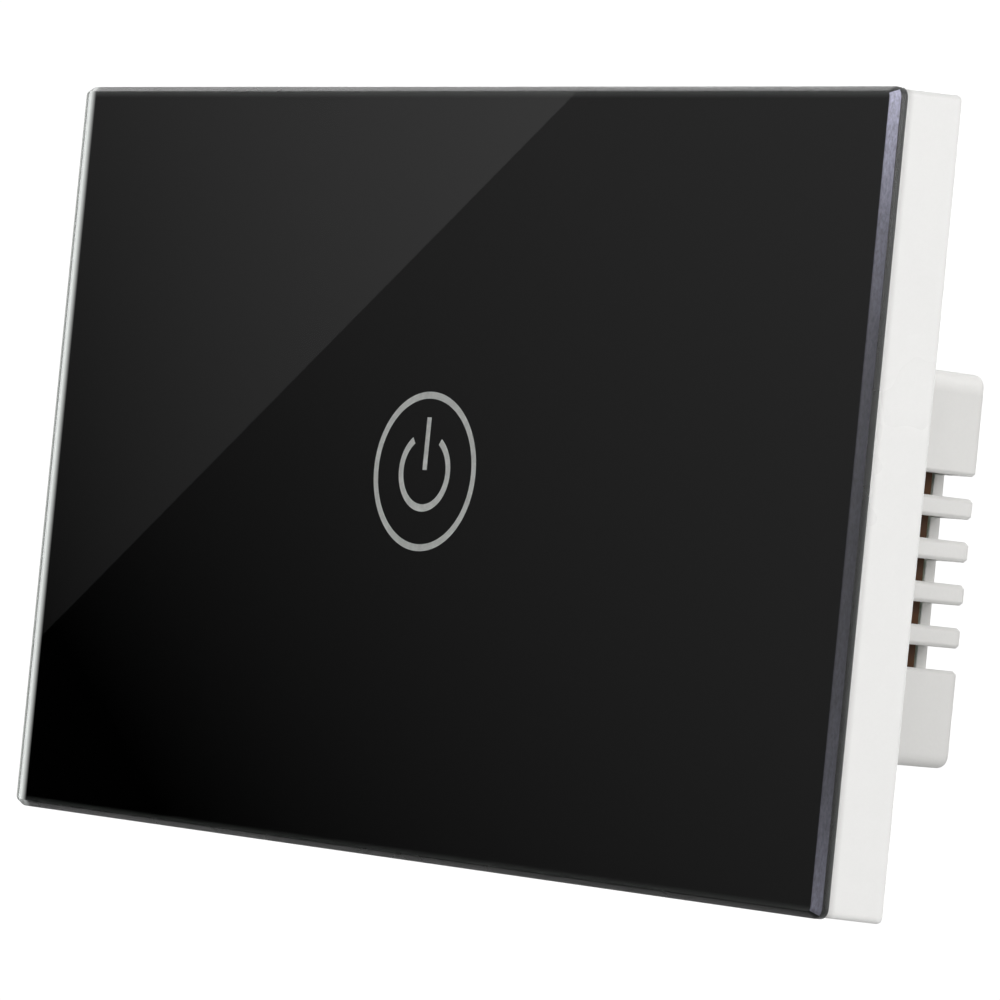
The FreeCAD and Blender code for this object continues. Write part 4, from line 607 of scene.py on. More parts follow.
def ribbon(path, width, level, rise):
    """A flat track through points on a board, mitred at its bends."""
    left, right = [], []
    for place, (across, up) in enumerate(path):
        before = Vector(path[max(place - 1, 0)])
        after = Vector(path[min(place + 1, len(path) - 1)])
        here = Vector((across, up))
        into = (here - before).normalized() if place else (after - here).normalized()
        out = (after - here).normalized() if place < len(path) - 1 else into
        ahead = (into + out).normalized()
        side = Vector((-ahead.y, ahead.x)) * width / 2 / max(ahead.dot(into), 0.5)
        left.append(here + side)
        right.append(here - side)
    rings = [[(point.x, level, point.y), (other.x, level, other.y),
              (other.x, level + rise, other.y), (point.x, level + rise, point.y)]
             for point, other in zip(left, right)]
    return lofted(rings)


TRACK_RISE = 0.05
MAINS_WIDTH = 1.9
FINE_WIDTH = 0.6
# Each track is a row of points, across and up.
MAINS_TRACKS = [
    [(-9.5, -7.65), (-12.4, -5.4), (-12.5, 2.4)],
    [(-26.95, -9.6), (-28.1, -7.6), (-28.1, 0.6), (-27.6, 2.4)],
    [(-19.05, -9.6), (-19.05, -13.6), (-20.5, -16.0)],
    [(9.5, -7.65), (16.6, -7.65), (20.0, -11.0), (20.0, -12.8)],
    [(25.1, -12.8), (25.1, -6.2), (24.15, -2.6)],
    [(25.1, -17.2), (28.0, -14.4), (28.0, 3.0), (24.15, 6.6)],
    [(20.65, 6.6), (20.65, -2.6)],
]
FINE_TRACKS = [
    [(-25.5, -16.0), (-27.9, -16.0), (-29.5, -14.4), (-29.5, 9.8), (-28.4, 10.9), (-10.2, 10.9),
     (-8.15, 8.2)],
    [(-23.4, 8.2), (-21.9, 9.4), (-12.4, 9.4), (-11.0, 8.0), (-11.0, 5.0), (-10.4, 4.2), (-10.4, -2.6),
     (-7.8, -5.2), (-7.0, -5.2)],
    [(-23.4, -3.4), (-21.0, -5.8), (-16.4, -5.8), (-15.2, -4.6), (-15.2, 5.8)],
    [(-7.4, 3.9), (-8.15, 8.2)],
    [(-0.65, 8.2), (1.0, 9.6), (2.6, 9.6), (3.8, 6.9)],
    [(-0.65, 8.2), (-2.6, 6.2), (-2.6, -2.4), (-5.0, -5.2)],
    [(-1.0, -5.2), (-1.0, -3.6), (0.5, -2.1), (3.8, -2.1)],
    [(1.0, -5.2), (1.0, -4.4), (1.9, -3.5), (5.4, -3.5), (6.6, -2.3), (6.6, 3.0), (5.7, 3.9), (3.8, 3.9)],
    [(3.0, -5.2), (3.9, -4.6), (7.0, -4.6), (8.4, -3.2), (8.4, 0.0), (9.3, 0.9), (13.8, 0.9)],
    [(7.0, -5.2), (12.0, -5.2), (13.8, -3.4), (13.8, -2.1)],
    [(13.8, 6.9), (15.6, 9.4), (19.2, 9.4), (20.65, 6.6)],
    [(13.8, 3.9), (17.2, 3.9), (18.0, 3.1), (18.0, -0.6), (20.65, -2.6)],
]
track_shapes = [ribbon(path, MAINS_WIDTH, BOARD_BACK, TRACK_RISE) for path in MAINS_TRACKS]
track_shapes += [ribbon(path, FINE_WIDTH, BOARD_BACK, TRACK_RISE) for path in FINE_TRACKS]
joint_shapes = []
for name in LEADED:
    foot = PIN_FOOT if name == "link_pins" else LEAD_FOOT
    for tip in lead_tips(name, BAR_SPREAD if name == "terminal_bars" else LEAD_SPREAD):
        joint_shapes.append(solder_shape(*tip, foot))
track_green = sheet_finish("lacquered_track", (0.10, 0.22, 0.06), roughness=0.28, fibre=1200.0,
                           depth=0.003, contrast=0.1)
solder = metal("solder", (0.78, 0.79, 0.80), roughness=0.24, lines=700.0, arris=0.02, depth=0.01)
settle(build("power_tracks", *track_shapes), "base", "paper_laminate", track_green)
settle(build("power_solder", *joint_shapes), "base", "tinned_brass", solder)


# Relay
# A blue case over a coil that swings an iron armature. The armature carries a brass blade whose
# contact closes on the fixed one; the coil is enamelled copper wire on a cream bobbin.

relay_blue = moulding("relay_blue", (0.05, 0.20, 0.55), roughness=0.32, grain=2400.0, arris=0.2,
                      edge_shade=1.18)
relay_black = moulding("relay_black", (0.03, 0.03, 0.03), roughness=0.45, depth=0.01, mottle=0.1)
bobbin_plastic = moulding("bobbin_plastic", (0.80, 0.78, 0.70), roughness=0.42, grain=2400.0, arris=0.08,
                          edge_shade=1.04)
relay_iron = metal("relay_iron", (0.62, 0.62, 0.60), roughness=0.34, along=(0.1, 1.0, 1.0), stain=0.12)
contact_brass = metal("contact_brass", (0.75, 0.50, 0.28), roughness=0.24, lines=1800.0,
                      along=(0.1, 1.0, 1.0), arris=0.04)
LEAD_TIN = (0.80, 0.79, 0.76)
SLIVER_AREA = 1e-12


def tin_leads(material, rise=0.01):
    """Tinned metal for a part's leads, from a little above the board's face, in millimetres."""
    repaint_beyond(material, BOARD_FRONT - rise, LEAD_TIN, metallic=True, roughness=0.3)


def without_slivers(node, name):
    """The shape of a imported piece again, without its stray faces that have no area."""
    piece = recast(node, name, lambda point: point)
    shape = bmesh.new()
    shape.from_mesh(piece.data)
    slivers = [face for face in shape.faces if face.calc_area() < SLIVER_AREA]
    bmesh.ops.delete(shape, geom=slivers, context="FACES")
    shape.to_mesh(piece.data)
    shape.free()
    return piece


tin_leads(relay_black)
settle(without_slivers("relay_case", "relay_shell"), "base", "relay_blue", relay_blue)
dress(relay_black, "relay_base")
dress(bobbin_plastic, "relay_bobbin")
dress(relay_iron, "relay_core", "relay_armature")
dress(contact_brass, "contact_blade", "fixed_contact")


def coil_path(across, up, radius, start, stop, pitch):
    """Points of a wire that winds along a line parallel to Y."""
    steps = 28
    count = int((stop - start) / pitch * steps)
    return [(across + radius * math.cos(math.tau * step / steps), start + pitch * step / steps,
             up + radius * math.sin(math.tau * step / steps)) for step in range(count + 1)]


def wire_shape(path, radius, sides=7):
    """A round wire swept along points, square to a line parallel to Y."""
    rings = []
    for place, point in enumerate(path):
        before = Vector(path[max(place - 1, 0)])
        after = Vector(path[min(place + 1, len(path) - 1)])
        ahead = (after - before).normalized()
        side = ahead.cross(Vector((0.0, 1.0, 0.0))).normalized()
        over = side.cross(ahead)
        rings.append([Vector(point) + (side * math.cos(math.tau * turn / sides)
                                       + over * math.sin(math.tau * turn / sides)) * radius
                      for turn in range(sides)])
    return lofted(rings)


def tube(inner, outer, start, stop, across=0.0, up=0.0, steps=40):
    """A ring of square section about a line parallel to Y."""
    profile = ((inner, start), (outer, start), (outer, stop), (inner, stop), (inner, start))
    return lofted([round_ring(radius, depth, across, up, steps) for radius, depth in profile], caps=False)


def winding(name, middle, bore, body, turns, start, stop, wire, pitch):
    """Turns of a wire, with its middle at a radius, over a plain body of the same winding."""
    path = coil_path(*middle, turns, start + wire, stop - wire, pitch)
    return build(name, tube(bore, body, start, stop, *middle), wire_shape(path, wire), sharp=60.0)


copper_wire = metal("copper_wire", (0.60, 0.24, 0.08), roughness=0.22, stain=0.08, arris=0.02, depth=0.001)
RELAY_WIRE = 0.2
winding_low, winding_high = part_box("relay_winding")
relay_turns = winding("relay_turns", middle_of("relay_winding"), bore=2.55, body=4.2, turns=4.2,
                      start=winding_low.y / MM + 0.02, stop=winding_high.y / MM - 0.02,
                      wire=RELAY_WIRE, pitch=RELAY_WIRE * 2.02)
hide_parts("relay_winding")
settle(relay_turns, "base", "copper_wire", copper_wire)


# Transformer
# Ferrite core round a winding wrapped in yellow tape, on a black base with eight leads that are
# soldered in the power board.

ferrite = moulding("ferrite", (0.10, 0.10, 0.11), roughness=0.38, grain=1400.0, depth=0.02, mottle=0.15,
                   arris=0.12, edge_shade=1.3)
dress(ferrite, "transformer_core")
transformer_black = moulding("transformer_black", (0.03, 0.03, 0.03), roughness=0.45, depth=0.01,
                             mottle=0.1)
tin_leads(transformer_black)
dress(transformer_black, "transformer_base")


TAPE_LAP = 5.0
LAP_STEP = 0.08
LAP_PAINTED_SHADE = 0.8
WIRES_SCALE = 800.0
WIRES_SHARE = 0.3


def tape_finish(name, colour):
    """Polyester tape in turns: a faint step at every lap with painted shade along it, and the wires that
    print through.
    """
    material, tree, shader = new_finish(name)
    skin = use_group(tree, MOULDED_SKIN, Colour=(*colour, 1.0), Grain=900.0, Mottle=0.08, Roughness=0.3,
                     Edge_Width=0.3 * MM, Edge_Shade=1.08)
    turns = math_node(tree, "FRACT", math_node(tree, "DIVIDE", object_axes(tree)["Z"], TAPE_LAP * MM))
    step = remap(tree, turns, 0.0, LAP_STEP, 0.0, 1.0)
    wires = add_node(tree, "TexWave", {"Vector": object_place(tree), "Scale": WIRES_SCALE,
                                       "Distortion": 0.6}, bands_direction="Z")
    height = plus(tree, step, times(tree, wires.outputs["Fac"], WIRES_SHARE))
    # Painted shade along the step at each lap.
    lapped = shaded(tree, skin["Colour"], remap(tree, step, 0.0, 1.0, LAP_PAINTED_SHADE, 1.0))
    cover(tree, shader, lapped, skin["Roughness"], bump(tree, height, 0.04, 0.15))
    return material


dress(tape_finish("yellow_tape", (0.88, 0.70, 0.12)), "transformer_winding")


# Smoothing capacitors
# Two aluminium cans in dark shrunk sleeves with a pale stripe, and a bare vent scored in each end.
# They stand on the power board on leads that are soldered through it.

cans_low, cans_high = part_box("smoothing_capacitors")
CAN_RADIUS = 4.0
CAN_ACROSS = middle_of("smoothing_capacitors")[0]
CAN_LEVELS = (cans_low.z / MM + CAN_RADIUS, cans_high.z / MM - CAN_RADIUS)
CAN_TOP = cans_low.y / MM
BARE_RADIUS = CAN_RADIUS * 0.78
STRIPE_START = CAN_RADIUS * 0.86
SCORE_HALF = 0.16
SLEEVE_BLUE = (0.035, 0.045, 0.08, 1.0)
STRIPE_GREY = (0.62, 0.66, 0.70, 1.0)
CAN_METAL = (0.80, 0.80, 0.80, 1.0)
SCORE_PAINTED_SHADE = (0.30, 0.30, 0.31, 1.0)


def is_under(tree, value, limit):
    return math_node(tree, "LESS_THAN", value, limit)


def distance(tree, first, second):
    """How far a point lies from an axis, from its places on the two others."""
    squares = plus(tree, math_node(tree, "POWER", first, 2.0), math_node(tree, "POWER", second, 2.0))
    return math_node(tree, "SQRT", squares)


def can_finish(name):
    """Dark sleeve with a pale stripe; the end inside the sleeve's rim is bare and scored, with painted
    shade in the scores.
    """
    material, tree, shader = new_finish(name)
    skin = use_group(tree, MOULDED_SKIN, Colour=SLEEVE_BLUE, Grain=700.0, Mottle=0.2,
                     Roughness=0.28, Edge_Width=0.2 * MM, Edge_Shade=1.3)
    axes = object_axes(tree)
    across = minus(tree, axes["X"], CAN_ACROSS * MM)
    upper = is_over(tree, axes["Z"], sum(CAN_LEVELS) / 2 * MM)
    up = minus(tree, axes["Z"], mix_amount(tree, upper, CAN_LEVELS[0] * MM, CAN_LEVELS[1] * MM))
    on_end = is_under(tree, axes["Y"], (CAN_TOP + 0.25) * MM)
    bare = times(tree, on_end, is_under(tree, distance(tree, across, up), BARE_RADIUS * MM))
    stripe = is_over(tree, across, STRIPE_START * MM)
    colour = mix_colour(tree, stripe, skin["Colour"], STRIPE_GREY)
    colour = mix_colour(tree, bare, colour, CAN_METAL)
    narrow_x, narrow_z = (is_under(tree, math_node(tree, "ABSOLUTE", side), SCORE_HALF * MM)
                          for side in (across, up))
    score = times(tree, math_node(tree, "MAXIMUM", narrow_x, narrow_z), bare)
    # Painted shade in the scored grooves.
    colour = mix_colour(tree, score, colour, SCORE_PAINTED_SHADE)
    height = minus(tree, times(tree, skin["Height"], 0.1), score)
    cover(tree, shader, colour, skin["Roughness"], bump(tree, height, 0.1, 0.12))
    feed(tree, shader.inputs["Metallic"], bare)
    return material


capacitor_sleeve = can_finish("capacitor_sleeve")
tin_leads(capacitor_sleeve, 0.34)
dress(capacitor_sleeve, "smoothing_capacitors")


# Film capacitor and varistor
# A yellow moulded box and a disc dipped in blue epoxy, both on tinned leads that are soldered in
# the power board.

film_yellow = moulding("film_yellow", (0.85, 0.65, 0.15), roughness=0.38, grain=2400.0, arris=0.15,
                       edge_shade=1.06)
tin_leads(film_yellow)
settle(without_slivers("film_capacitor", "film_box"), "base", "film_yellow", film_yellow)
varistor_blue = moulding("varistor_blue", (0.05, 0.17, 0.48), roughness=0.30, grain=420.0, depth=0.05,
                         mottle=0.16, arris=0.3, edge_shade=1.15)
tin_leads(varistor_blue, 0.4)
dress(varistor_blue, "varistor")


# Fuse
# A ceramic tube with plated caps pressed on its ends. It lies along the power board and is
# soldered in by two leads.

fuse_low, fuse_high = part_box("fuse")
FUSE_CAP = 1.6
FUSE_WHITE = (0.85, 0.83, 0.76, 1.0)
FUSE_PLATE = (0.78, 0.77, 0.74, 1.0)


def fuse_finish(name):
    """Glazed ceramic, with plate on the caps at both ends and on the leads."""
    material, tree, shader = new_finish(name)
    skin = use_group(tree, MOULDED_SKIN, Colour=FUSE_WHITE, Grain=900.0, Mottle=0.1,
                     Roughness=0.35, Edge_Width=0.1 * MM, Edge_Shade=1.05)
    plate = use_group(tree, METAL_SKIN, Colour=FUSE_PLATE, Lines=2500.0, Across=0.1,
                      Stain=0.12, Roughness=0.24, Edge_Width=0.1 * MM)
    axes = object_axes(tree)
    left = is_under(tree, axes["X"], fuse_low.x + FUSE_CAP * MM)
    right = is_over(tree, axes["X"], fuse_high.x - FUSE_CAP * MM)
    lead = is_over(tree, axes["Y"], (BOARD_FRONT - 0.3) * MM)
    cap = math_node(tree, "MAXIMUM", math_node(tree, "MAXIMUM", left, right), lead)
    cover(tree, shader, mix_colour(tree, cap, skin["Colour"], plate["Colour"]),
          mix_amount(tree, cap, skin["Roughness"], plate["Roughness"]),
          bump(tree, skin["Height"], 0.004, 0.08))
    feed(tree, shader.inputs["Metallic"], cap)
    return material


dress(fuse_finish("fuse_ceramic"), "fuse")


# Choke
# A ferrite drum wound with enamelled copper, on two square tinned leads that are soldered in
# the power board.

choke_low, choke_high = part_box("choke")
CHOKE_MIDDLE = middle_of("choke")
CHOKE_TOP = choke_low.y / MM
CHOKE_RIM = 3.6
CHOKE_CORE = 2.0
CHOKE_EDGE = 0.2
CHOKE_WIRE = 0.27
wound_from, wound_to = CHOKE_TOP + 0.9, BOARD_FRONT - 0.9
drum_profile = [(CHOKE_RIM - CHOKE_EDGE, CHOKE_TOP), (CHOKE_RIM, CHOKE_TOP + CHOKE_EDGE),
                (CHOKE_RIM, wound_from), (CHOKE_CORE, wound_from),
                (CHOKE_CORE, wound_to), (CHOKE_RIM, wound_to),
                (CHOKE_RIM, BOARD_FRONT - CHOKE_EDGE), (CHOKE_RIM - CHOKE_EDGE, BOARD_FRONT)]
choke_drum = build("choke_drum", lofted([round_ring(radius, depth, *CHOKE_MIDDLE, 40)
                                         for radius, depth in drum_profile]))
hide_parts("choke")
settle(choke_drum, "base", "ferrite", ferrite)
choke_turns = winding("choke_turns", CHOKE_MIDDLE, bore=CHOKE_CORE, body=2.9, turns=3.0,
                      start=wound_from, stop=wound_to, wire=CHOKE_WIRE, pitch=CHOKE_WIRE * 2.04)
settle(choke_turns, "base", "copper_wire", copper_wire)


def lead_shape(across, up, half, start, stop):
    """A square lead with its end nipped to a blunt point."""
    rings = []
    for reach, depth in ((half, start), (half, stop - 0.15), (half * 0.6, stop)):
        rings.append([(across + reach * side, depth, up + reach * level)
                      for side, level in ((1, 1), (-1, 1), (-1, -1), (1, -1))])
    return lofted(rings)


lead_tin = metal("lead_tin", LEAD_TIN, roughness=0.3, lines=1800.0, along=(1.0, 0.1, 1.0), arris=0.03)
lead_shapes = [lead_shape(across, up, half_x, BOARD_FRONT - 0.3, choke_high.y / MM)
               for across, up, half_x, half_z in lead_tips("choke", LEAD_SPREAD)]
settle(build("choke_leads", *lead_shapes), "base", "tinned_brass", lead_tin)


# Bridge rectifier
# Four diodes in one black epoxy block with a matt moulded skin, on four tinned leads that are
# soldered in the power board.

rectifier_black = moulding("rectifier_black", (0.03, 0.03, 0.03), roughness=0.5, grain=2000.0, depth=0.014,
                           mottle=0.12, arris=0.12)
tin_leads(rectifier_black)
dress(rectifier_black, "bridge_rectifier")


# Board link
# Eight gold plated pins run from the power board through two black spacers into the socket
# of the touch board.

gold_pins = metal("gold_pins", (0.83, 0.69, 0.36), roughness=0.2, lines=2500.0, along=(1.0, 0.08, 1.0),
                  stain=0.06, arris=0.03)
link_black = moulding("link_black", (0.028, 0.028, 0.03), roughness=0.42, depth=0.008, mottle=0.1)
dress(gold_pins, "link_pins")
dress(link_black, "link_spacers", "link_socket")


# Mounting yoke
# Pressed steel plate, zinc plated, that the two box screws draw against the wall. The rolled
# sheet keeps faint lines along its length, and its sheared edges are bright.

zinc_steel = metal("zinc_steel", (0.66, 0.68, 0.70), roughness=0.33, lines=1300.0, along=(0.06, 1.0, 1.0),
                   stain=0.16, arris=0.12)
dress(zinc_steel, "mounting_yoke")


# Insulating sheet
# Black vulcanised paper, stamped out of sheet. It lies between the yoke and the touch board, and
# the board screws hold it.

fish_paper = sheet_finish("fish_paper", (0.055, 0.055, 0.062), roughness=0.62, fibre=1100.0, depth=0.012,
                          contrast=0.3)
dress(fish_paper, "insulating_sheet")


# Touch board
# Glass laminate under black lacquer, with its gold touch ring, tracks and small chip parts on
# the front, where the spring carries the touch of the panel to it.

TOUCH_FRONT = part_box("touch_board")[0].y / MM
TOUCH_TRACK_RISE = 0.035
TOUCH_TRACK_WIDTH = 0.35
TOUCH_TRACK_LEVEL = TOUCH_FRONT - TOUCH_TRACK_RISE
touch_laminate = sheet_finish("touch_laminate", (0.022, 0.024, 0.026), roughness=0.3, fibre=1600.0,
                              depth=0.003, contrast=0.2)
dress(touch_laminate, "touch_board")


def track_ring(inner, outer):
    """A thin ring that lies on the front of the touch board."""
    return tube(inner, outer, TOUCH_TRACK_LEVEL, TOUCH_TRACK_LEVEL + TOUCH_TRACK_RISE, steps=72)


TOUCH_TRACKS = [
    [(5.6, -0.6), (8.6, -0.6), (11.0, -3.0), (11.0, -6.6)],
    [(12.4, -6.4), (12.4, -2.0), (15.6, 1.2), (22.6, 1.2)],
    [(13.7, -6.4), (13.7, -3.4), (17.0, -0.8), (24.0, -0.8)],
    [(15.0, -6.4), (15.0, -5.0), (17.6, -2.8), (25.0, -2.8)],
    [(11.1, -13.6), (11.1, -16.0), (8.6, -18.2), (-8.0, -18.2)],
    [(12.4, -13.6), (12.4, -17.0), (10.0, -19.4), (-10.0, -19.4), (-16.0, -13.4)],
    [(13.7, -13.6), (13.7, -16.2), (16.6, -18.6), (22.4, -18.6)],
    [(15.0, -13.6), (17.4, -15.6), (24.0, -15.6)],
    [(-1.0, -1.6), (-1.0, -7.0), (-7.0, -10.0), (-14.0, -10.0)],
    [(1.0, 1.6), (1.0, 9.0), (4.0, 12.0), (17.0, 12.0)],
    [(-22.0, 8.0), (-17.0, 8.0), (-12.0, 12.6), (-3.0, 12.6)],
    [(-22.0, 5.6), (-15.8, 5.6), (-12.6, 2.4), (-12.6, -4.0)],
]
touch_shapes = [ribbon(path, TOUCH_TRACK_WIDTH, TOUCH_TRACK_LEVEL, TOUCH_TRACK_RISE)
                for path in TOUCH_TRACKS]
touch_lacquer = sheet_finish("touch_lacquer", (0.05, 0.055, 0.055), roughness=0.28, fibre=1600.0,
                             depth=0.002, contrast=0.1)
settle(build("touch_tracks", *touch_shapes, track_ring(9.4, 9.9)), "base", "touch_laminate", touch_lacquer)
bare_gold = metal("bare_gold", (0.83, 0.66, 0.34), roughness=0.26, stain=0.08, arris=0.02)
settle(build("touch_ring", track_ring(4.95, 5.7)), "base", "gold_pins", bare_gold)


def outline(width, height, radius, steps=8):
    """Points round a rectangle with round corners, in millimetres, seen from the front."""
    points = []
    middle_x, middle_z = width / 2 - radius, height / 2 - radius
    for corner, (side, level) in enumerate(((1, 1), (-1, 1), (-1, -1), (1, -1))):
        for step in range(steps + 1):
            angle = math.pi / 2 * (corner + step / steps)
            points.append((side * middle_x + radius * math.cos(angle),
                           level * middle_z + radius * math.sin(angle)))
    return points


def block(across, up, width, height, front, back, edge):
    """A small block with broken edges, lying on a board."""
    rings = []
    for inset, depth in ((edge, front), (0.0, front + edge), (0.0, back)):
        ring = outline(width - inset * 2, height - inset * 2, edge * 0.8, 3)
        rings.append([(across + side, depth, up + level) for side, level in ring])
    return lofted(rings)


# Across, up, then 1 for a part that stands upright, and 1 for a brown capacitor.
CHIP_PARTS = [
    (8.6, -2.6, 0, 1), (18.4, 1.2, 0, 1), (19.4, -0.8, 0, 0), (19.4, -2.8, 0, 1), (0.0, -18.2, 0, 1),
    (4.0, -19.4, 0, 0), (19.0, -18.6, 0, 1), (20.4, -15.6, 0, 0), (-10.0, -10.0, 0, 1), (1.0, 6.4, 1, 0),
    (8.0, 12.0, 0, 1), (12.4, 12.0, 0, 0), (-7.6, 12.6, 0, 1), (-12.6, 0.0, 1, 1), (-19.4, 5.6, 0, 0),
    (-19.4, 8.0, 0, 1), (24.0, 8.0, 1, 1), (26.2, 8.0, 1, 0),
]
PART_LONG, PART_WIDE, PART_TALL = 1.6, 0.85, 0.5
BODY_LONG, END_LONG, PAD_LONG = PART_LONG * 0.66, PART_LONG * 0.2, PART_LONG * 0.45
END_REACH, PAD_REACH = PART_LONG * 0.42, PART_LONG * 0.56
resistor_bodies, capacitor_bodies, part_ends, part_joints = [], [], [], []


def lying(across, up, upright, reach, length, width, tall, edge):
    """A block on the touch board, some way along the length of a chip part that lies or stands."""
    place = (across, up + reach) if upright else (across + reach, up)
    size = (width, length) if upright else (length, width)
    return block(*place, *size, TOUCH_FRONT - tall, TOUCH_FRONT, edge)


for across, up, upright, brown in CHIP_PARTS:
    target = capacitor_bodies if brown else resistor_bodies
    target.append(lying(across, up, upright, 0.0, BODY_LONG, PART_WIDE, PART_TALL, 0.06))
    for side in (-1, 1):
        part_ends.append(lying(across, up, upright, side * END_REACH, END_LONG, PART_WIDE + 0.02,
                               PART_TALL + 0.02, 0.05))
        part_joints.append(lying(across, up, upright, side * PAD_REACH, PAD_LONG, PART_WIDE + 0.3,
                                 0.14, 0.1))
chip_black = moulding("chip_black", (0.02, 0.02, 0.022), roughness=0.4, mottle=0.1, arris=0.03)
chip_brown = moulding("chip_brown", (0.30, 0.19, 0.11), roughness=0.45, mottle=0.1, arris=0.03,
                      edge_shade=1.1)
settle(build("chip_resistors", *resistor_bodies), "base", "black_plastic", chip_black)
settle(build("chip_capacitors", *capacitor_bodies), "base", "bobbin_plastic", chip_brown)
settle(build("chip_ends", *part_ends, *part_joints), "base", "tinned_brass", solder)


# Touch chip, status light and touch spring
# A moulded chip with gull legs, a small light in a white shell with a clear lens, and the
# coil of spring wire that is pressed on the back of the panel.

chip_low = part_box("touch_chip")[0]
CHIP_UP = middle_of("touch_chip")[1]
CHIP_HALF = 1.95
MARK_INSET = 0.8
MARK_RADIUS = 0.3
MARK_SHADE = 2.2
CHIP_EPOXY = (0.025, 0.025, 0.027, 1.0)
LEG_TIN = (0.80, 0.79, 0.77, 1.0)


def chip_finish(name):
    """Black epoxy with a round mark at one corner; the legs beyond it are plated."""
    material, tree, shader = new_finish(name)
    skin = use_group(tree, MOULDED_SKIN, Colour=CHIP_EPOXY, Grain=2200.0, Mottle=0.1,
                     Roughness=0.5, Edge_Width=0.1 * MM, Edge_Shade=1.5)
    plate = use_group(tree, METAL_SKIN, Colour=LEG_TIN, Stain=0.1, Roughness=0.25)
    axes = object_axes(tree)
    reach = math_node(tree, "ABSOLUTE", minus(tree, axes["Z"], CHIP_UP * MM))
    leg = is_over(tree, reach, (CHIP_HALF + 0.01) * MM)
    mark_x = minus(tree, axes["X"], chip_low.x + MARK_INSET * MM)
    mark_z = minus(tree, axes["Z"], (CHIP_UP - CHIP_HALF + MARK_INSET) * MM)
    dimple = is_under(tree, distance(tree, mark_x, mark_z), MARK_RADIUS * MM)
    body = shaded(tree, skin["Colour"], remap(tree, dimple, 0.0, 1.0, 1.0, MARK_SHADE))
    cover(tree, shader, mix_colour(tree, leg, body, plate["Colour"]),
          mix_amount(tree, leg, skin["Roughness"], plate["Roughness"]),
          bump(tree, skin["Height"], 0.008, 0.04))
    feed(tree, shader.inputs["Metallic"], leg)
    return material


dress(chip_finish("chip_epoxy"), "touch_chip")
led_resin = moulding("led_resin", (0.88, 0.86, 0.76), roughness=0.25, grain=1800.0, depth=0.003,
                     arris=0.05, edge_shade=1.05)
dress(led_resin, "status_led")
spring_steel = metal("spring_steel", (0.78, 0.78, 0.77), roughness=0.22, lines=1200.0, stain=0.06,
                     arris=0.02, depth=0.001)
dress(spring_steel, "touch_spring")


# Radio module
# A small board under blue lacquer soldered on the back of the touch board: gold half holes down
# its long sides, a folded antenna track at its end, and a tinned can over the radio parts.

module_low, module_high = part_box("radio_module")
MODULE_FACE = module_high.y / MM
module_laminate = sheet_finish("module_laminate", (0.02, 0.08, 0.24), roughness=0.3, fibre=1500.0,
                               depth=0.003, contrast=0.15)
dress(module_laminate, "radio_module")
module_left, module_right = module_low.x / MM, module_high.x / MM
module_foot, module_head = module_low.z / MM, module_high.z / MM
MODULE_TRACK_RISE = 0.035
FIRST_HOLE = 1.6
HOLE_PITCH = 1.9
HOLE_LONG, HOLE_WIDE, HOLE_DEEP = 0.84, 1.0, 0.82
ANTENNA_LEFT = module_left + 2.0
ANTENNA_HEAD = module_head - 1.0
ANTENNA_FOLD = 1.2
ANTENNA_TALL = 3.6
ANTENNA_FEED = 6.6
ANTENNA_WIDTH = 0.5
module_shapes = []
for place in range(8):
    level = module_foot + FIRST_HOLE + place * HOLE_PITCH
    for side in (module_left + HOLE_LONG / 2, module_right - HOLE_LONG / 2):
        module_shapes.append(block(side, level, HOLE_LONG, HOLE_WIDE, MODULE_FACE - HOLE_DEEP,
                                   MODULE_FACE + MODULE_TRACK_RISE, 0.02))
antenna = [(ANTENNA_LEFT, module_head - ANTENNA_FEED), (ANTENNA_LEFT, ANTENNA_HEAD)]
for fold in range(5):
    right = ANTENNA_LEFT + (fold * 2 + 1) * ANTENNA_FOLD
    antenna += [(right, ANTENNA_HEAD), (right, ANTENNA_HEAD - ANTENNA_TALL),
                (right + ANTENNA_FOLD, ANTENNA_HEAD - ANTENNA_TALL), (right + ANTENNA_FOLD, ANTENNA_HEAD)]
module_shapes.append(ribbon(antenna, ANTENNA_WIDTH, MODULE_FACE, MODULE_TRACK_RISE))
settle(build("module_gold", *module_shapes), "base", "gold_pins", bare_gold)

shield_metal = metal("shield_metal", (0.72, 0.72, 0.70), roughness=0.3, along=(0.08, 1.0, 1.0), stain=0.12,
                     arris=0.1)
dress(shield_metal, "shield_can")


# Board screws
# Four self tapping screws in plated steel, with crossed heads. They hold board, sheet and yoke to
# the bosses of the housing.

screws_low, screws_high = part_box("board_screws")
SMALL_HEAD = 1.9
crown, tip = screws_low.y / MM, screws_high.y / MM
small_screws = []
for across in (screws_low.x / MM + SMALL_HEAD, screws_high.x / MM - SMALL_HEAD):
    for up in (screws_low.z / MM + SMALL_HEAD, screws_high.z / MM - SMALL_HEAD):
        small_screws.append(screw_shape(across, up, head=SMALL_HEAD, shank=1.0, seat=crown + 1.1,
                                        crown=crown, tip=tip, pitch=0.75, recess=0.8, out=-1))
board_screws = build("crossed_screws", *small_screws)
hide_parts("board_screws")
settle(board_screws, "base", "screw_steel", screw_steel)


# Panel frame and snap hooks
# The smooth white rim that carries the glass, with its web, ribs and four springy hooks.
# It is a glossier moulding than the housing and comes off with the front cover.

# The rim is painted darker along its joint with the glass: painted shade.
FRAME_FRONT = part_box("panel_frame")[0].y / MM
PAINTED_JOINT_SHADE = 0.81

# An edge_shade under 1 paints the rim's arrises darker: painted shade.
frame_plastic = moulding("frame_plastic", (0.89, 0.885, 0.872), roughness=0.32, grain=3500.0, depth=0.004,
                         mottle=0.02, arris=0.22, edge_shade=0.68)
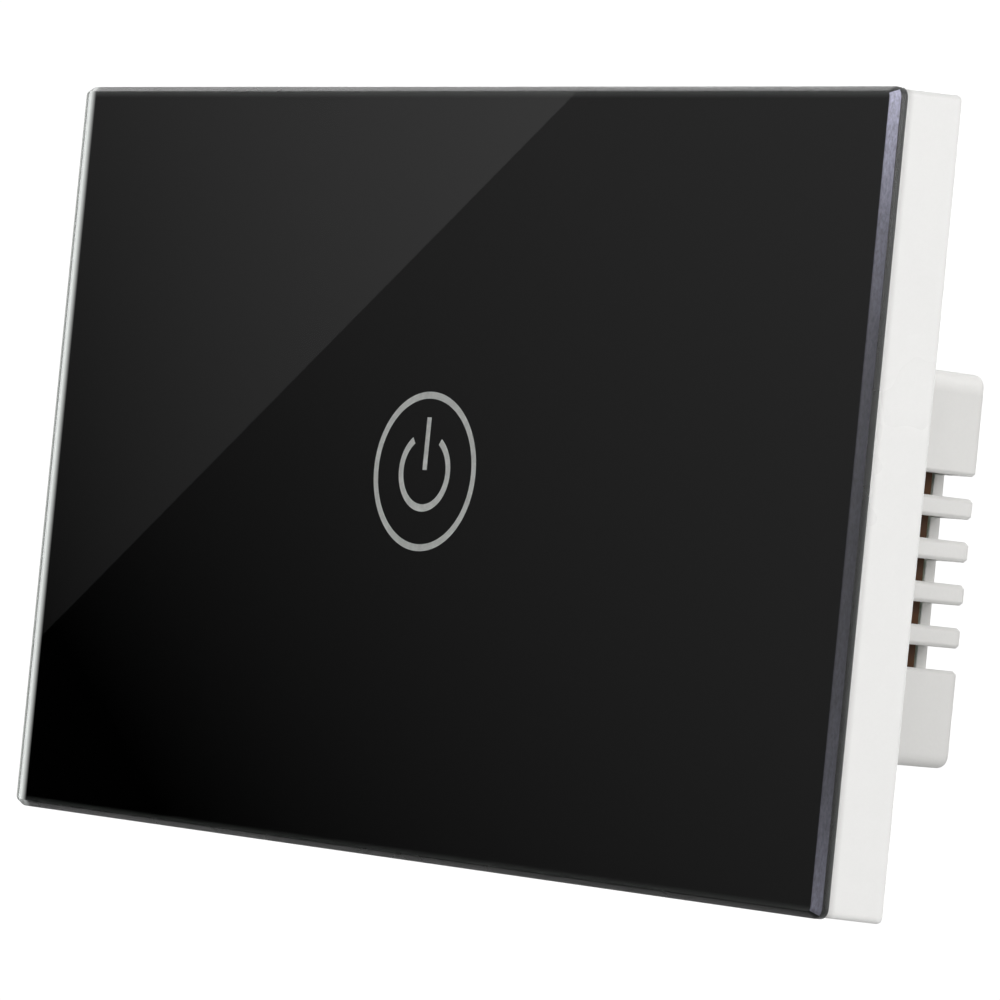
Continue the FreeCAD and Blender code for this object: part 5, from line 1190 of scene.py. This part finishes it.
# Painted shade along the joint with the glass.
painted_shade_along_joint = shade_share(frame_plastic.node_tree, "Y", FRAME_FRONT + 0.8, FRAME_FRONT + 0.25)
shade_finish(frame_plastic, painted_shade_along_joint, PAINTED_JOINT_SHADE)
dress(frame_plastic, "panel_frame", "snap_hooks")


# Adhesive tape and diffuser
# A closed strip of black foam that sticks the glass to the frame, and a disc of milky film
# behind the clear ring and sign.

CELL_SCALE = 2600.0
CELL_RIM = 0.6


def foam_finish(name, colour):
    """Open cells, with painted shade in their bottoms and a painted highlight on their rims."""
    material, tree, shader = new_finish(name)
    place = object_place(tree)
    cells = add_node(tree, "TexVoronoi", {"Vector": place, "Scale": CELL_SCALE}).outputs["Distance"]
    cloud = noise(tree, place, 120.0)
    # Painted shade in the cell bottoms, painted highlight on their rims.
    shade = times(tree, remap(tree, cells, 0.0, CELL_RIM, 0.7, 1.2), spread(tree, cloud, 0.9, 1.1))
    roughness = remap(tree, cells, 0.0, CELL_RIM, 0.75, 0.95)
    cover(tree, shader, shaded(tree, (*colour, 1.0), shade), roughness, bump(tree, cells, 0.06, 0.05))
    return material


dress(foam_finish("foam_tape", (0.10, 0.10, 0.10)), "adhesive_tape")
milky_film = moulding("milky_film", (0.62, 0.63, 0.62), roughness=0.5, grain=2500.0, depth=0.003,
                      mottle=0.04, arris=0.05, edge_shade=1.03)
dress(milky_film, "diffuser_disc")


# Glass panel
# Float glass with round corners, ground to a bevel all round its front. The faces are polished,
# the long bevels are fine ground, the one along the foot has a painted shade tint, and the one at the right
# end still shows the coarse wheel under a painted reflection.

glass_low, glass_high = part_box("glass_panel")
GLASS_WIDTH = (glass_high.x - glass_low.x) / MM
GLASS_HEIGHT = (glass_high.z - glass_low.z) / MM
GLASS_FRONT = glass_low.y / MM
GLASS_BACK = glass_high.y / MM
GLASS_CORNER = 1.0
BEVEL_WIDTH = 0.56
BEVEL_DEPTH = 0.88
SEAM = 0.06


def glass_profile():
    """Inset and depth of each ring from the front face round to the back face."""
    slope = math.hypot(BEVEL_WIDTH, BEVEL_DEPTH)
    across, deep = BEVEL_WIDTH / slope, BEVEL_DEPTH / slope
    return [
        (BEVEL_WIDTH + SEAM, GLASS_FRONT),
        (BEVEL_WIDTH - SEAM * across, GLASS_FRONT + SEAM * deep),
        (SEAM * across, GLASS_FRONT + BEVEL_DEPTH - SEAM * deep),
        (0.0, GLASS_FRONT + BEVEL_DEPTH + SEAM),
        (0.0, GLASS_BACK - SEAM),
        (SEAM, GLASS_BACK),
    ]


def framed(inset, depth):
    """The outline of the glass, drawn in by an inset, at a depth."""
    corner = max(GLASS_CORNER - inset, 0.2)
    ring = outline(GLASS_WIDTH - inset * 2, GLASS_HEIGHT - inset * 2, corner)
    return [(across, depth, up) for across, up in ring]


glass = build("glass_sheet", lofted([framed(*edge) for edge in glass_profile()]), sharp=20.0)

GLASS_TINT = (0.93, 0.965, 0.95, 1.0)
GLASS_INDEX = 1.52
POLISH_SCALE = 30.0
GRIND_SCALE = 4200.0


def plain_bump(tree, height, depth):
    """A normal from a height on flat glass; depth is in millimetres."""
    return add_node(tree, "Bump", {"Height": height, "Distance": depth * MM}).outputs["Normal"]


def clear_glass(name, roughness=0.0, depth=0.0):
    """Clear glass with faint clouds in its polish; one with a depth has a fine ground speckle."""
    material, tree, shader = new_finish(name)
    shader.inputs["Base Color"].default_value = GLASS_TINT
    shader.inputs["Transmission Weight"].default_value = 1.0
    shader.inputs["IOR"].default_value = GLASS_INDEX
    place = object_place(tree)
    cloud = noise(tree, place, POLISH_SCALE, 3.0, 0.6)
    rougher = roughness * 1.3 + 0.01
    feed(tree, shader.inputs["Roughness"], remap(tree, cloud, 0.4, 0.7, roughness, rougher))
    if depth:
        speckle = noise(tree, place, GRIND_SCALE, 3.0, 0.7)
        feed(tree, shader.inputs["Normal"], plain_bump(tree, speckle, depth))
    return material


PAINTED_SHADE_TINT = (0.17, 0.18, 0.18, 1.0)
REFLECTION_DIMMING_INDEX = 1.16


def painted_shade_bevel(name):
    """The bevel along the foot, duller, with a painted shade tint and a low index that dims its reflection.
    """
    material = clear_glass(name, roughness=0.26, depth=0.002)
    shader = material.node_tree.nodes["Principled BSDF"]
    shader.inputs["Base Color"].default_value = PAINTED_SHADE_TINT
    shader.inputs["IOR"].default_value = REFLECTION_DIMMING_INDEX
    return material


def make_ground_and_reflection_skin():
    """Fine scratches and speckle that a coarse wheel leaves, under a painted reflection: bluish, and paler
    toward both ends of the bevel.
    """
    head_power, foot_power = 7.4, 8.3
    speckle_scale, cloud_scale = 5200.0, 220.0
    blueness = 1.28
    group, given, result = shader_group(
        "ground_and_reflection_skin",
        {"Low": 0.1, "High": 0.6, "Foot": 0.12, "Bottom": -0.036, "Top": 0.036, "Roughness": 0.4},
        SKIN_OUTPUTS)
    place = object_place(group)
    rise = remap(group, object_axes(group)["Z"], given["Bottom"], given["Top"], 0.0, 1.0)
    head = math_node(group, "POWER", rise, head_power)
    foot = math_node(group, "POWER", minus(group, 1.0, rise), foot_power)
    shade = mix_amount(group, head, given["Low"], given["High"])
    shade = plus(group, shade, times(group, foot, given["Foot"]))
    speckle = noise(group, stretched(group, place, (1.0, 1.0, 0.35)), speckle_scale, 4.0, 0.75)
    cloud = noise(group, place, cloud_scale, 2.0, 0.5)
    shade = times(group, shade, spread(group, speckle, 0.55, 1.5))
    shade = times(group, shade, spread(group, cloud, 0.9, 1.1))
    blue = times(group, shade, blueness)
    feed(group, result["Colour"], add_node(group, "CombineColor", {0: shade, 1: shade, 2: blue}).outputs[0])
    change = spread(group, speckle, -0.08, 0.08)
    feed(group, result["Roughness"], plus(group, given["Roughness"], change, True))
    feed(group, result["Height"], speckle)
    return group


GROUND_AND_REFLECTION_SKIN = make_ground_and_reflection_skin()


def ground_glass_with_painted_reflection(name, low, high, roughness, clear):
    """A milky ground skin with a painted reflection over clear glass."""
    material, tree, shader = new_finish(name)
    skin = use_group(tree, GROUND_AND_REFLECTION_SKIN, Low=low, High=high, Roughness=roughness)
    cover(tree, shader, skin["Colour"], skin["Roughness"], plain_bump(tree, skin["Height"], 0.004))
    shader.inputs["Transmission Weight"].default_value = clear
    shader.inputs["IOR"].default_value = GLASS_INDEX
    shader.inputs["Specular IOR Level"].default_value = 0.25
    return material


# The front face is painted darker where it meets the bevel at its left end: painted shade.
LEFT_ARRIS = BEVEL_WIDTH + SEAM - GLASS_WIDTH / 2
PAINTED_LEFT_SHADE = 0.64

polished_glass = clear_glass("polished_glass")
painted_shade_by_left_end = shade_share(polished_glass.node_tree, "X", LEFT_ARRIS + 0.65, LEFT_ARRIS + 0.25)
shade_finish(polished_glass, painted_shade_by_left_end, PAINTED_LEFT_SHADE)
fine_bevel = clear_glass("fine_bevel", roughness=0.22, depth=0.002)
# Its bluish colour, paler toward both ends, is a painted reflection over the ground speckle.
coarse_bevel_with_painted_reflection = ground_glass_with_painted_reflection("coarse_bevel_with_painted_reflection", low=0.029, high=0.54, roughness=0.45, clear=0.2)
settle(glass, "front_cover", "panel_glass", polished_glass, fine_bevel, coarse_bevel_with_painted_reflection,
       painted_shade_bevel("painted_shade_bevel"))
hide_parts("glass_panel")
POLISHED, FINE, COARSE, DULL = range(4)
for face in glass.data.polygons:
    on_bevel = face.normal.y < -0.3
    if on_bevel and face.normal.x > abs(face.normal.z):
        face.material_index = COARSE
    elif on_bevel and -face.normal.z > abs(face.normal.x):
        face.material_index = DULL
    else:
        face.material_index = FINE if abs(face.normal.y) < 0.98 else POLISHED


# Back print and sign
# Black ink screened on the back of the glass almost to its edge, where it thins to grey. The ring
# and standby sign left open in it are closed by a grey translucent ink that lights up from behind.

PRINT_MARGIN = 0.22
PRINT_FADE = 0.9
PRINT_FRONT = GLASS_BACK - 0.012
PRINT_BACK = GLASS_BACK + 0.03
THIN_POWER = 1.4
# The glow along the left end is painted light.
PAINTED_GLOW_FADE = 0.98
PAINTED_GLOW_POWER = 1.2
PAINTED_GLOW_COLOUR = (0.89, 0.9, 0.885, 1.0)
THIN_GREY = (0.15, 0.155, 0.15, 1.0)


def ink_finish(name, colour, roughness=0.5):
    """Screened ink with a fine grain; returns its tree, shader and grained colour too."""
    material, tree, shader = new_finish(name)
    grain = noise(tree, object_place(tree), 1500.0)
    grained = shaded(tree, (*colour, 1.0), spread(tree, grain, 0.92, 1.08))
    feed(tree, shader.inputs["Base Color"], grained)
    shader.inputs["Roughness"].default_value = roughness
    shader.inputs["Specular IOR Level"].default_value = 0.0
    return material, tree, shader, grained


def thin_edges(tree, shader, grained):
    """The ink thins out toward the edge of the glass and turns grey, with painted shade along the foot; the
    left end has a painted glow, emission that stands in for light through the glass's edge.
    """
    axes = object_axes(tree)
    reach_x = minus(tree, GLASS_WIDTH / 2 * MM, math_node(tree, "ABSOLUTE", axes["X"]))
    reach_z = minus(tree, GLASS_HEIGHT / 2 * MM, math_node(tree, "ABSOLUTE", axes["Z"]))
    reach = math_node(tree, "MINIMUM", reach_x, reach_z)
    thin = remap(tree, reach, PRINT_MARGIN * MM, (PRINT_MARGIN + PRINT_FADE) * MM, 1.0, 0.0)
    # Painted shade: the grey edge is darker along the foot.
    low = remap(tree, axes["Z"], (1.6 - GLASS_HEIGHT / 2) * MM, (0.6 - GLASS_HEIGHT / 2) * MM, 1.0, 0.7)
    thin = math_node(tree, "POWER", thin, THIN_POWER)
    thinned = mix_colour(tree, thin, grained, shaded(tree, THIN_GREY, low))
    feed(tree, shader.inputs["Base Color"], thinned)
    # Painted light: the left end glows, emission that stands in for light through the glass's edge.
    reach_left = plus(tree, axes["X"], GLASS_WIDTH / 2 * MM)
    painted_glow_share = remap(tree, reach_left, PRINT_MARGIN * MM, (PRINT_MARGIN + PAINTED_GLOW_FADE) * MM, 1.0, 0.0)
    glow = shaded(tree, PAINTED_GLOW_COLOUR, math_node(tree, "POWER", painted_glow_share, PAINTED_GLOW_POWER))
    feed(tree, shader.inputs["Emission Color"], glow)
    shader.inputs["Emission Strength"].default_value = 1.0


black_ink, ink_tree, ink_shader, ink_colour = ink_finish("black_ink", (0.0008, 0.0008, 0.0008))
thin_edges(ink_tree, ink_shader, ink_colour)
print_shape = lofted([framed(PRINT_MARGIN, PRINT_FRONT), framed(PRINT_MARGIN, PRINT_BACK)])
settle(build("black_print", print_shape), "front_cover", "panel_glass", black_ink)

SIGN_FRONT = PRINT_FRONT - 0.006
SIGN_ACROSS = -0.52
RING_RADIUS = 7.44
RING_STROKE = 0.65
ARC_RADIUS = 3.75
ARC_STROKE = 0.68
ARC_OPENING = math.radians(34)
BAR_WIDTH = 0.62
BAR_LOW = 0.14
BAR_TOP = 5.05


def bent_band(outer, stroke, start, stop, steps):
    """A flat band bent round the sign's middle; a whole turn closes on itself."""
    closed = stop - start >= math.tau
    rings = []
    for step in range(steps + 1):
        angle = start + (stop - start) * step / steps
        rings.append([(SIGN_ACROSS + reach * math.sin(angle), depth, reach * math.cos(angle))
                      for reach, depth in ((outer, SIGN_FRONT), (outer, PRINT_BACK),
                                           (outer - stroke, PRINT_BACK), (outer - stroke, SIGN_FRONT))])
    return lofted(rings, caps=not closed)


bar_left, bar_right = SIGN_ACROSS - BAR_WIDTH / 2, SIGN_ACROSS + BAR_WIDTH / 2
sign_bar = lofted([[(bar_left, depth, BAR_LOW), (bar_right, depth, BAR_LOW),
                    (bar_right, depth, BAR_TOP), (bar_left, depth, BAR_TOP)]
                   for depth in (SIGN_FRONT, PRINT_BACK)])
sign_grey = ink_finish("sign_grey", (0.83, 0.82, 0.805), roughness=0.45)[0]
sign_ring = build("sign_ring", bent_band(RING_RADIUS, RING_STROKE, 0.0, math.tau, 128))
sign_arc = bent_band(ARC_RADIUS, ARC_STROKE, ARC_OPENING, math.tau - ARC_OPENING, 80)
settle(sign_ring, "front_cover", "milky_film", sign_grey)
settle(build("sign_power", sign_arc, sign_bar), "front_cover", "milky_film", sign_grey)


# Floor
# A pale sweep well under the switch. Its middle takes the shadow; toward its rim it fades into
# the white surround.

FLOOR_LEVEL = -150.0
FLOOR_RADIUS = 1300.0
FLOOR_PLAIN = 350.0
FLOOR_WHITE = FLOOR_RADIUS * 0.9
FLOOR_THICK = 5.0
FLOOR_GREY = (0.70, 0.70, 0.70, 1.0)


def seen_rays(tree):
    """The ways of a ray, and white for one from the lens, off a shiny piece or through a clear one."""
    ways = add_node(tree, "LightPath").outputs
    seen = math_node(tree, "MAXIMUM", ways["Is Camera Ray"], ways["Is Glossy Ray"])
    return ways, math_node(tree, "MAXIMUM", seen, ways["Is Transmission Ray"])


def floor_finish(name):
    """Matt pale grey that turns into plain white toward its rim."""
    material, tree, shader = new_finish(name)
    place = object_place(tree)
    grain = noise(tree, place, 300.0, 3.0)
    feed(tree, shader.inputs["Base Color"], shaded(tree, FLOOR_GREY, spread(tree, grain, 0.985, 1.015)))
    shader.inputs["Roughness"].default_value = 0.7
    reach = add_node(tree, "VectorMath", {0: place}, operation="LENGTH").outputs["Value"]
    fade = remap(tree, reach, FLOOR_PLAIN * MM, FLOOR_WHITE * MM, 0.0, 1.0)
    white_share = times(tree, seen_rays(tree)[1], fade)
    white = add_node(tree, "Emission", {"Strength": 1.0})
    both = add_node(tree, "MixShader", {0: white_share, 1: shader.outputs[0], 2: white.outputs[0]})
    feed(tree, tree.nodes["Material Output"].inputs["Surface"], both.outputs[0])
    return material


def floor_ring(level, steps=96):
    return [(FLOOR_RADIUS * math.cos(math.tau * step / steps),
             FLOOR_RADIUS * math.sin(math.tau * step / steps), level) for step in range(steps)]


floor = build("floor", lofted([floor_ring(FLOOR_LEVEL), floor_ring(FLOOR_LEVEL - FLOOR_THICK)]))
floor.data.materials.append(floor_finish("floor_white"))


# Light
# A white surround that is dimmer as a lamp than it looks, a large soft lamp from the front right
# and above, a small one beside it for the box, and one behind for the back of the switch. The lens
# sees the surround a little over white, so that no corner of the picture turns grey.

WHITE_LIFT = 0.06


def surround(tone, above, below, behind):
    """White where the lens, a reflection or the glass looks past the switch; dimmer as a lamp."""
    world = bpy.data.worlds.new("surround")
    world.use_nodes = True
    tree = world.node_tree
    ways, seen = seen_rays(tree)
    direction = add_node(tree, "TexCoord").outputs["Generated"]
    heading = add_node(tree, "SeparateXYZ", {"Vector": direction}).outputs
    lamp = remap(tree, heading["Z"], -0.3, 0.8, below, above)
    lamp = times(tree, lamp, remap(tree, heading["Y"], -0.2, 0.8, 1.0, behind))
    background = tree.nodes["Background"]
    feed(tree, background.inputs["Color"], mix_colour(tree, seen, (*tone, 1.0), (1.0, 1.0, 1.0, 1.0)))
    plain = plus(tree, times(tree, ways["Is Camera Ray"], WHITE_LIFT), 1.0)
    feed(tree, background.inputs["Strength"], mix_amount(tree, seen, lamp, plain))
    bpy.context.scene.world = world


surround(tone=(1.0, 0.995, 0.99), above=0.36, below=0.13, behind=0.8)


def softbox(name, place, aim, side, watts):
    """A square lamp; its place, aim and side are in millimetres."""
    lamp = bpy.data.lights.new(name, "AREA")
    lamp.shape = "RECTANGLE"
    lamp.size = lamp.size_y = side * MM
    lamp.energy = watts
    box = new_object(name, lamp)
    place, aim = Vector(place) * MM, Vector(aim) * MM
    box.location = place
    box.rotation_euler = (aim - place).to_track_quat("-Z", "Y").to_euler()
    return box


softbox("key_lamp", (980.0, -600.0, 380.0), aim=(20.0, 0.0, 0.0), side=600.0, watts=6.8)
softbox("side_lamp", (1050.0, 420.0, 400.0), aim=(20.0, 0.0, 0.0), side=500.0, watts=2.4)
rear_lamp = softbox("rear_lamp", (-700.0, 900.0, 240.0), aim=(0.0, 10.0, 0.0), side=700.0, watts=5.5)
rear_lamp.visible_transmission = False


# Camera
# At the photograph's place: to the right of the switch, level with it and a little above its
# foot, with a long lens.

CAMERA_PLACE = Vector((468.2, -389.81, -13.93)) * MM
CAMERA_RIGHT = Vector((0.6398, 0.7622, 0.0982))
CAMERA_DOWN = Vector((0.0479, 0.0880, -0.9950))
CAMERA_AHEAD = Vector((-0.7670, 0.6413, 0.0198))
LENS_LENGTH = 234.53
SENSOR_WIDTH = 36.0

camera_data = bpy.data.cameras.new("camera")
camera_data.lens = LENS_LENGTH
camera_data.sensor_width = SENSOR_WIDTH
camera = new_object("camera", camera_data)
turn = Matrix((CAMERA_RIGHT, -CAMERA_DOWN, -CAMERA_AHEAD)).transposed()
camera.matrix_world = Matrix.Translation(CAMERA_PLACE) @ turn.to_4x4()
bpy.context.scene.camera = camera


# Reflected softbox
# Two dim cards far in front of the switch, seen only as mirrored in the polished panel. The
# slanting line where they meet is the edge of the softbox that crosses the black glass.

CARD_DEPTH = -1300.0
CARD_EDGE = ((16.9, 35.4), (-56.4, -18.7))
CARD_BEYOND = 60.0
REFLECTANCE = 0.058


def mirrored_on_card(across, up):
    """The place on the card that the camera sees mirrored at a place on the panel."""
    eye = CAMERA_PLACE / MM
    eye.y = 2 * GLASS_FRONT - eye.y
    reach = (CARD_DEPTH - eye.y) / (GLASS_FRONT - eye.y)
    return Vector((eye.x + (across - eye.x) * reach, CARD_DEPTH, eye.z + (up - eye.z) * reach)) * MM


def card_finish(name, middle, per_width, per_height):
    """A glow that changes evenly over the card; its amounts are as seen in the panel, per mm."""
    material, tree, shader = new_finish(name)
    tree.nodes.remove(shader)
    axes = object_axes(tree)
    origin = mirrored_on_card(0.0, 0.0)
    step = mirrored_on_card(1.0, 0.0).x - origin.x
    across = remap(tree, axes["X"], origin.x, origin.x + step, 0.0, per_width / REFLECTANCE, False)
    up = remap(tree, axes["Z"], origin.z, origin.z + step, 0.0, per_height / REFLECTANCE, False)
    glow = plus(tree, plus(tree, across, up), middle / REFLECTANCE)
    emission = add_node(tree, "Emission", {"Strength": math_node(tree, "MAXIMUM", glow, 0.0)})
    feed(tree, tree.nodes["Material Output"].inputs["Surface"], emission.outputs[0])
    return material


def card(name, corners, material):
    """A flat card through corners that are given as places on the panel."""
    mesh = bpy.data.meshes.new(name)
    mesh.from_pydata([mirrored_on_card(*corner) for corner in corners], [], [tuple(range(len(corners)))])
    mesh.materials.append(material)
    board = new_object(name, mesh)
    board.visible_camera = False
    board.visible_diffuse = False
    board.visible_shadow = False
    board.visible_transmission = False


(edge_x1, edge_z1), (edge_x2, edge_z2) = CARD_EDGE
run_x, run_z = (edge_x1 - edge_x2) / 2, (edge_z1 - edge_z2) / 2
top_end = (edge_x1 + run_x, edge_z1 + run_z)
low_end = (edge_x2 - run_x, edge_z2 - run_z)
far_right = top_end[0] + CARD_BEYOND
card("softbox_card", [low_end, top_end, (low_end[0], top_end[1])],
     card_finish("softbox_glow", middle=0.0233, per_width=0.00028, per_height=0.00021))
card("dark_card", [low_end, (far_right, low_end[1]), (far_right, top_end[1]), top_end],
     card_finish("card_glow", middle=0.0097, per_width=0.000126, per_height=0.000155))

bpy.context.scene.view_settings.view_transform = "Standard"
